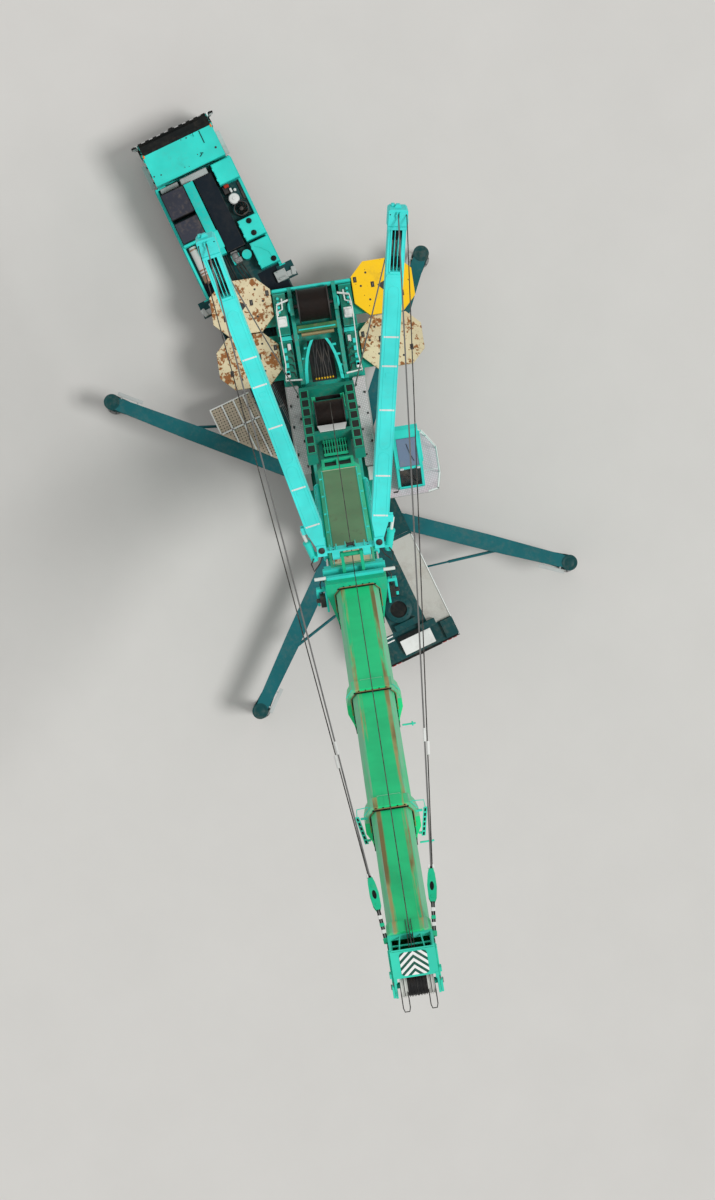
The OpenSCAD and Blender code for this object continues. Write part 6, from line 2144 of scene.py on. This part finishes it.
@dataclass
class Mast(Assembly):
    """One guying mast: its bands, long panel, box head, slot with sheaves, joints and spread cylinder."""

    side: int
    half_w: float = MAST_W / 2
    half_d: float = MAST_D / 2
    slot_low: float = MAST_LENGTH - 1.95
    slot_high: float = MAST_LENGTH - 0.63
    head: float = MAST_LENGTH - 0.57

    @property
    def body(self) -> str:
        """The body that carries it."""
        return f"mast_{('left' if self.side > 0 else 'right')}"

    @property
    def frame(self) -> Frame:
        """The mast's own frame."""
        return mast_frame(self.side)

    def bands(self) -> None:
        """White weld bands across the two broad faces."""
        shape = self.piece(f"bands_{self.body}", WHITE)
        for sign in SIDES:
            x = sign * self.half_d
            for at in (0.85, 2.2, 4.4, 5.85, 6.8):
                shape.box((x - sign * 0.002, 0.04 - self.half_w, at),
                          (x + sign * 0.01, self.half_w - 0.04, at + 0.055), 0.003)

    def panels(self) -> None:
        """Raised rims of two long panels on both broad faces, round at their ends, and edge seams."""
        shape = self.piece(f"panels_{self.body}", SEA_GREEN)
        a = np.linspace(0, 2 * pi, 24, endpoint=False)
        for sign in SIDES:
            x = sign * self.half_d
            for low, high in ((0.95, 2.85), (3.3, 8.3)):
                z = np.where(np.sin(a) > 0, high, low) + 0.17 * np.sin(a)
                shape.tube(np.stack([np.full(24, x), 0.17 * np.cos(a), z], -1), 0.013, 6, closed=True)
            for y in (-self.half_w + 0.012, self.half_w - 0.012):
                shape.box((x - sign * 0.002, y - 0.012, 0.9), (x + sign * 0.012, y + 0.012, self.head),
                          0.004)
            for z in (2.0, 5.5):
                shape.box((x - sign * 0.002, -0.11, z), (x + sign * 0.014, 0.11, z + 0.16), 0.01)

    def tip(self) -> None:
        """The slot's rim, inner ribs, sheaves and ropes, and the box head's lid, lugs and rope eye."""
        green = self.piece(f"tip_plates_{self.body}", SEA_GREEN)
        dark = self.piece(f"tip_sheaves_{self.body}", BLACK)
        rope = self.piece(f"tip_ropes_{self.body}", BROWN_ROPE)
        low, high, x = self.slot_low, self.slot_high, self.half_d
        for sign in SIDES:
            face, lift = sign * x, 1.0 if sign > 0 else 0.08
            for y in (-0.17, 0.17):
                green.box((face - sign * 0.004, y - 0.022, low - 0.05),
                          (face + sign * 0.03 * lift, y + 0.022, high + 0.05), 0.003)
            for z in (low - 0.05, high):
                green.box((face - sign * 0.004, -0.19, z), (face + sign * 0.03 * lift, 0.19, z + 0.05),
                          0.003)
            green.boxes((face - sign * 0.004, -0.285, self.head + 0.06, face + sign * 0.022 * lift, 0.285,
                         self.head + 0.5, 0.003), (face - sign * 0.004, -0.294, self.head - 0.05,
                face + sign * 0.045 * lift, 0.294, self.head + 0.04, 0.004),
                        (face - sign * 0.004, -0.25, low - 0.16, face + sign * 0.04 * lift, 0.25,
                         low - 0.09, 0.004))
            for s2 in SIDES:
                green.disc(0.04, 0.016, 0.02, (sign * (x + 0.075), s2 * 0.062, MAST_LENGTH - 0.15), Y, 20,
                           s2 < 0)
                dark.disc(0.022, 0.003, 0.004, (face + sign * 0.022 * lift, s2 * 0.24, self.head + 0.42),
                          X, 6, sign < 0)
            outer = self.side * 0.292
            green.box((face - sign * 0.02, outer, self.head + 0.1),
                      (face - sign * 0.16, outer + self.side * 0.02, self.head + 0.26), 0.006)
        for y in (-0.055, 0.055):
            green.box((-x + 0.04, y - 0.01, low - 0.01), (x - 0.02, y + 0.01, high + 0.01), 0.004)
        for y in (-0.1, 0.0, 0.1):
            for z in (low + 0.24, high - 0.24):
                ring = [(0.03, -0.03), (0.17, -0.03), (0.15, 0.0), (0.17, 0.03), (0.03, 0.03)]
                dark.lathe(ring, (0.0, y, z), Y, 32)
            rope.tube([(0.165, y, low + 0.1), (0.165, y, high - 0.1)], 0.014, 8)
            rope.tube([(-0.165, y, low + 0.1), (-0.165, y, high - 0.1)], 0.014, 8)
        for z in (low + 0.24, high - 0.24):
            dark.ring(0, 0.035, -0.16, 0.16, (0.0, 0.0, z), Y, 16)
        lug = [(-0.12, -0.02), (0.12, -0.02), (0.05, 0.1), (-0.05, 0.1)]
        green.plate([(y, MAST_LENGTH + z) for y, z in lug], -0.06, 0.06, X)
        green.box((-0.19, -0.2, MAST_LENGTH - 0.004), (-0.03, -0.08, MAST_LENGTH + 0.07), 0.02)

    def foot(self) -> None:
        """Foot pin's dark heads, and the spread cylinder with its hoses and its lug on the mast."""
        s = self.side
        dark = self.piece(f"foot_pin_{self.body}", DARK_STEEL, body="mast_cradle", frame=mast_frame(s))
        for sign in SIDES:
            dark.lathe([(0, 0), (0.1, 0), (0.1, 0.04), (0.06, 0.06), (0, 0.06)], (sign * 0.3, 0, 0), X,
                       28, sign < 0)
        x, n = MAST_AT, MAST_HINGE_Z
        low, high = np.array([x + 0.05, s * 1.16, n + 0.02]), np.array([x + 0.05, s * 1.43, n + 1.05])
        along = (high - low) / np.linalg.norm(high - low)
        barrel = self.piece(f"spread_barrel_{self.body}", TURQUOISE, body="mast_cradle", frame=BOOM)
        rod = self.piece(f"spread_rod_{self.body}", WHITE, body="mast_cradle", frame=BOOM)
        hose = self.piece(f"spread_hoses_{self.body}", HOSE, body="mast_cradle", frame=BOOM)
        mid = low + along * 0.66
        barrel.tube([low - along * 0.05, mid], 0.115, 24)
        barrel.tube([mid - along * 0.08, mid - along * 0.02], 0.132, 24)
        barrel.box((x - 0.1, s * 1.04, n + 0.1), (x + 0.2, s * 1.2, n + 0.19), 0.015)
        rod.tube([mid - along * 0.02, high], 0.052, 16)
        for path in ([(0.17, 1.17, 0.12), (0.3, 1.28, -0.02), (0.34, 1.22, -0.26), (0.2, 1.02, -0.1),
                      (0.16, 0.9, 0.14)], [(-0.05, 1.17, 0.12), (-0.26, 1.3, -0.04), (-0.3, 1.14, -0.22),
                (-0.18, 0.94, 0.12)]):
            hose.tube([(x + a, s * b, n + c) for a, b, c in path], 0.022, 8)
        lug = self.piece(f"spread_lug_{self.body}", SEA_GREEN, frame=mast_frame(s))
        for a in (-0.05, 0.13):
            lug.box((a, s * (self.half_w - 0.01), 0.62), (a + 0.03, s * (self.half_w + 0.14), 0.86), 0.008)

    def make(self) -> None:
        """Makes the mast's pieces."""
        self.bands()
        self.panels()
        self.tip()
        self.foot()


@dataclass
class Guying(Assembly):
    """Both masts, the cradle's details, and the pulley blocks, links and second ropes of the guys."""

    body = "boom"
    frame = BOOM

    def cradle(self) -> None:
        """Ribs and bolt heads on the cradle, and rollers of the guying rope between its ears."""
        green = self.piece("cradle_ribs", TURQUOISE, body="mast_cradle")
        dark = self.piece("cradle_rollers", DARK_STEEL, body="mast_cradle")
        x, n = MAST_AT, MAST_HINGE_Z
        for y in (0.42, 0.62):
            green.box((x - 0.12, y, n + 0.255), (x + 0.12, y + 0.04, n + 0.36), 0.01, both=True)
        dark.ring(0.1, 0.122, 0, 0.018, (x, 0.603, n), Y, 28, both=True)
        for a in (-0.09, 0.09):
            dark.disc(0.022, 0.016, 0.018, (x + a, 0.54, n + 0.26), Z, 6, both=True)
        green.box((x - 0.07, 0.145, n + 0.255), (x + 0.07, 0.17, n + 0.42), 0.01, both=True)
        dark.lathe([(0, -0.12), (0.085, -0.12), (0.085, -0.09), (0.05, -0.09), (0.05, 0.09),
                    (0.085, 0.09), (0.085, 0.12), (0, 0.12)], (x, 0.0, n + 0.33), Y, 28)

    def block(self, side: int, guy: Frame, length: float) -> None:
        """One pulley block on its guy, with the links down to the head and the rope beside the stay.

        Args:
            side: 1 for the left, -1 for the right.
            guy: a frame whose x runs from the head along the guy to the mast's tip.
            length: the guy's length.
        """
        word = "left" if side > 0 else "right"
        body = self.piece(f"guy_block_{word}", GREEN, frame=guy)
        pale = self.piece(f"guy_block_ends_{word}", WHITE, frame=guy)
        dark = self.piece(f"guy_block_sheaves_{word}", BLACK, frame=guy)
        rope = self.piece(f"guy_second_rope_{word}", ROPE, frame=guy)
        half = [(0.98, 0.05), (1.12, 0.105), (1.45, 0.125), (1.78, 0.095), (1.92, 0.06)]
        outline = [(x, -y) for x, y in half] + half[::-1]
        hole = [(1.42 + 0.13 * u, 0.055 * v) for u, v in around(20, 1.0)]
        for z in (-0.07, 0.05):
            body.plate(outline, z, z + 0.02, Z)
            dark.plate(hole, z - 0.004, z + 0.024, Z)
        for x in (1.12, 1.68):
            body.ring(0, 0.04, -0.085, 0.085, (x, 0, 0), Z, 16)
        dark.lathe([(0.02, -0.04), (0.115, -0.04), (0.095, 0.0), (0.115, 0.04), (0.02, 0.04)],
                   (1.42, 0, 0), Z, 32)
        dark.box((1.84, -0.03, -0.045), (2.0, 0.03, 0.045), 0.01)
        for y in (-0.058, 0.058):
            pale.boxes((1.82, y - 0.028, -0.055, 1.9, y + 0.028, 0.055, 0.012),
                       (1.95, y - 0.024, -0.045, 2.06, y + 0.024, 0.045, 0.012))
            dark.tube([(0.05, y * 0.6, 0), (1.05, y * 0.6, 0)], 0.016, 8)
        for x in (0.3, 0.72):
            pale.box((x, -0.055, -0.04), (x + 0.11, 0.055, 0.04), 0.018)
        body.boxes((0.02, -0.07, -0.05, 0.16, 0.07, 0.05, 0.015),
                   (0.5, -0.06, -0.04, 0.6, 0.06, 0.04, 0.015))
        rope.tube([(2.0, side * 0.03, 0.0), (length - 0.05, side * 0.25, 0.0)], 0.016, 8)
        for x, y in ((5.7, 0.0), (5.3, 0.08)):
            pale.tube([(x, side * y, 0), (x + 0.4, side * (y + 0.004), 0)], 0.042, 12)

    def make(self) -> None:
        """Makes both masts and their guying."""
        for side in (1, -1):
            mast = Mast(side)
            mast.make()
            self.pieces += mast.pieces
            foot = np.array([BOOM_END + 0.16, side * 0.62, RISE + 0.6])
            tip = mast_tip(side)
            length = float(np.linalg.norm(tip - foot))
            along = (tip - foot) / length
            up = np.cross(along, [0.0, 1.0, 0.0])
            up = up / np.linalg.norm(up)
            guy = BOOM.inner(np.stack([along, np.cross(up, along), up], 1), tuple(foot))
            self.block(side, guy, length)
        self.cradle()


def mast_tip(side: int) -> Array:
    """Gives the place, in the boom's frame, of the guy's upper end ahead of a mast."""
    reach = MAST_LENGTH - 0.15
    return np.array([MAST_AT + MAST_D / 2, side * (MAST_PIN_Y + reach * sin(radians(MAST_SPREAD))),
        MAST_HINGE_Z + MAST_FOOT + reach * cos(radians(MAST_SPREAD))])


ASSEMBLIES: list = [RunningGear, Outriggers, DriverCab, CarrierDeck, Superstructure, OperatorCab,
    Counterweight, SidePlatform, BoomBase, Collars, BoomHead, LiftCylinder, Guying]


# Stage, camera and the main function


@dataclass
class Studio:
    """Pale floor, soft light and the camera straight above the crane."""

    height: float = 120.0
    nadir: tuple = (-4.06, 1.28)
    picture_up: tuple = (0.90138, -0.43304)
    view_angle: float = 20.66
    floor_half: float = 140.0

    def camera(self) -> None:
        """Puts the camera over the nadir, looking straight down, with the picture's up as measured."""
        data = bpy.data.cameras.new("camera")
        data.sensor_fit = "VERTICAL"
        data.angle = radians(self.view_angle)
        data.clip_end = 600.0
        camera = bpy.data.objects.new("camera", data)
        camera.location = (*self.nadir, self.height)
        camera.rotation_euler = (0.0, 0.0, atan2(-self.picture_up[0], self.picture_up[1]))
        bpy.context.scene.collection.objects.link(camera)
        bpy.context.scene.camera = camera

    def light(self) -> None:
        """Adds an even sky and one broad soft sun, at which a colour renders about as written."""
        world = bpy.data.worlds.new("sky")
        world.use_nodes = True
        back = world.node_tree.nodes["Background"]
        back.inputs["Color"].default_value = (1.0, 1.0, 1.0, 1.0)
        back.inputs["Strength"].default_value = 0.55
        bpy.context.scene.world = world
        sun = bpy.data.lights.new("sun", "SUN")
        sun.energy = 1.6
        sun.angle = radians(16.0)
        lamp = bpy.data.objects.new("sun", sun)
        lamp.rotation_euler = (radians(24.0), radians(-20.0), 0.0)
        bpy.context.scene.collection.objects.link(lamp)

    def floor(self) -> None:
        """Lays the pale floor, a square whose corners fall away into the haze of the sky."""
        h = self.floor_half
        data = bpy.data.meshes.new("floor")
        data.from_pydata([(-h, -h, -0.004), (h, -h, -0.004), (h, h, -0.004), (-h, h, -0.004)], [],
            [(0, 1, 2, 3)])
        shader = Shader("pale_floor")
        shader.set("Base Color", shader.mix(shader.noise(0.3, 5.0), rgb(206, 204, 200), rgb(214, 212, 208)))
        shader.set("Roughness", 0.9)
        data.materials.append(shader.material)
        floor = bpy.data.objects.new("floor", data)
        bpy.context.scene.collection.objects.link(floor)


def dress_nodes(nodes: dict) -> None:
    """Gives every CAD node its finish.

    Args:
        nodes: the CAD objects by name.
    """
    for name, piece in nodes.items():
        finish = node_finish(name)
        piece.data.materials.clear()
        piece.data.materials.append(finish.material())


def main() -> None:
    """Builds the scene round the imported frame."""
    logging.basicConfig(level=logging.INFO, format="%(name)s %(message)s")
    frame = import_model()
    bpy.context.scene.view_settings.view_transform = "Standard"
    studio = Studio()
    studio.camera()
    studio.light()
    studio.floor()
    dress_nodes(frame["nodes"])
    for assembly in ASSEMBLIES:
        part = assembly()
        part.build()
        LOG.info("built %s", type(part).__name__)


if __name__ == "__main__":
    main()
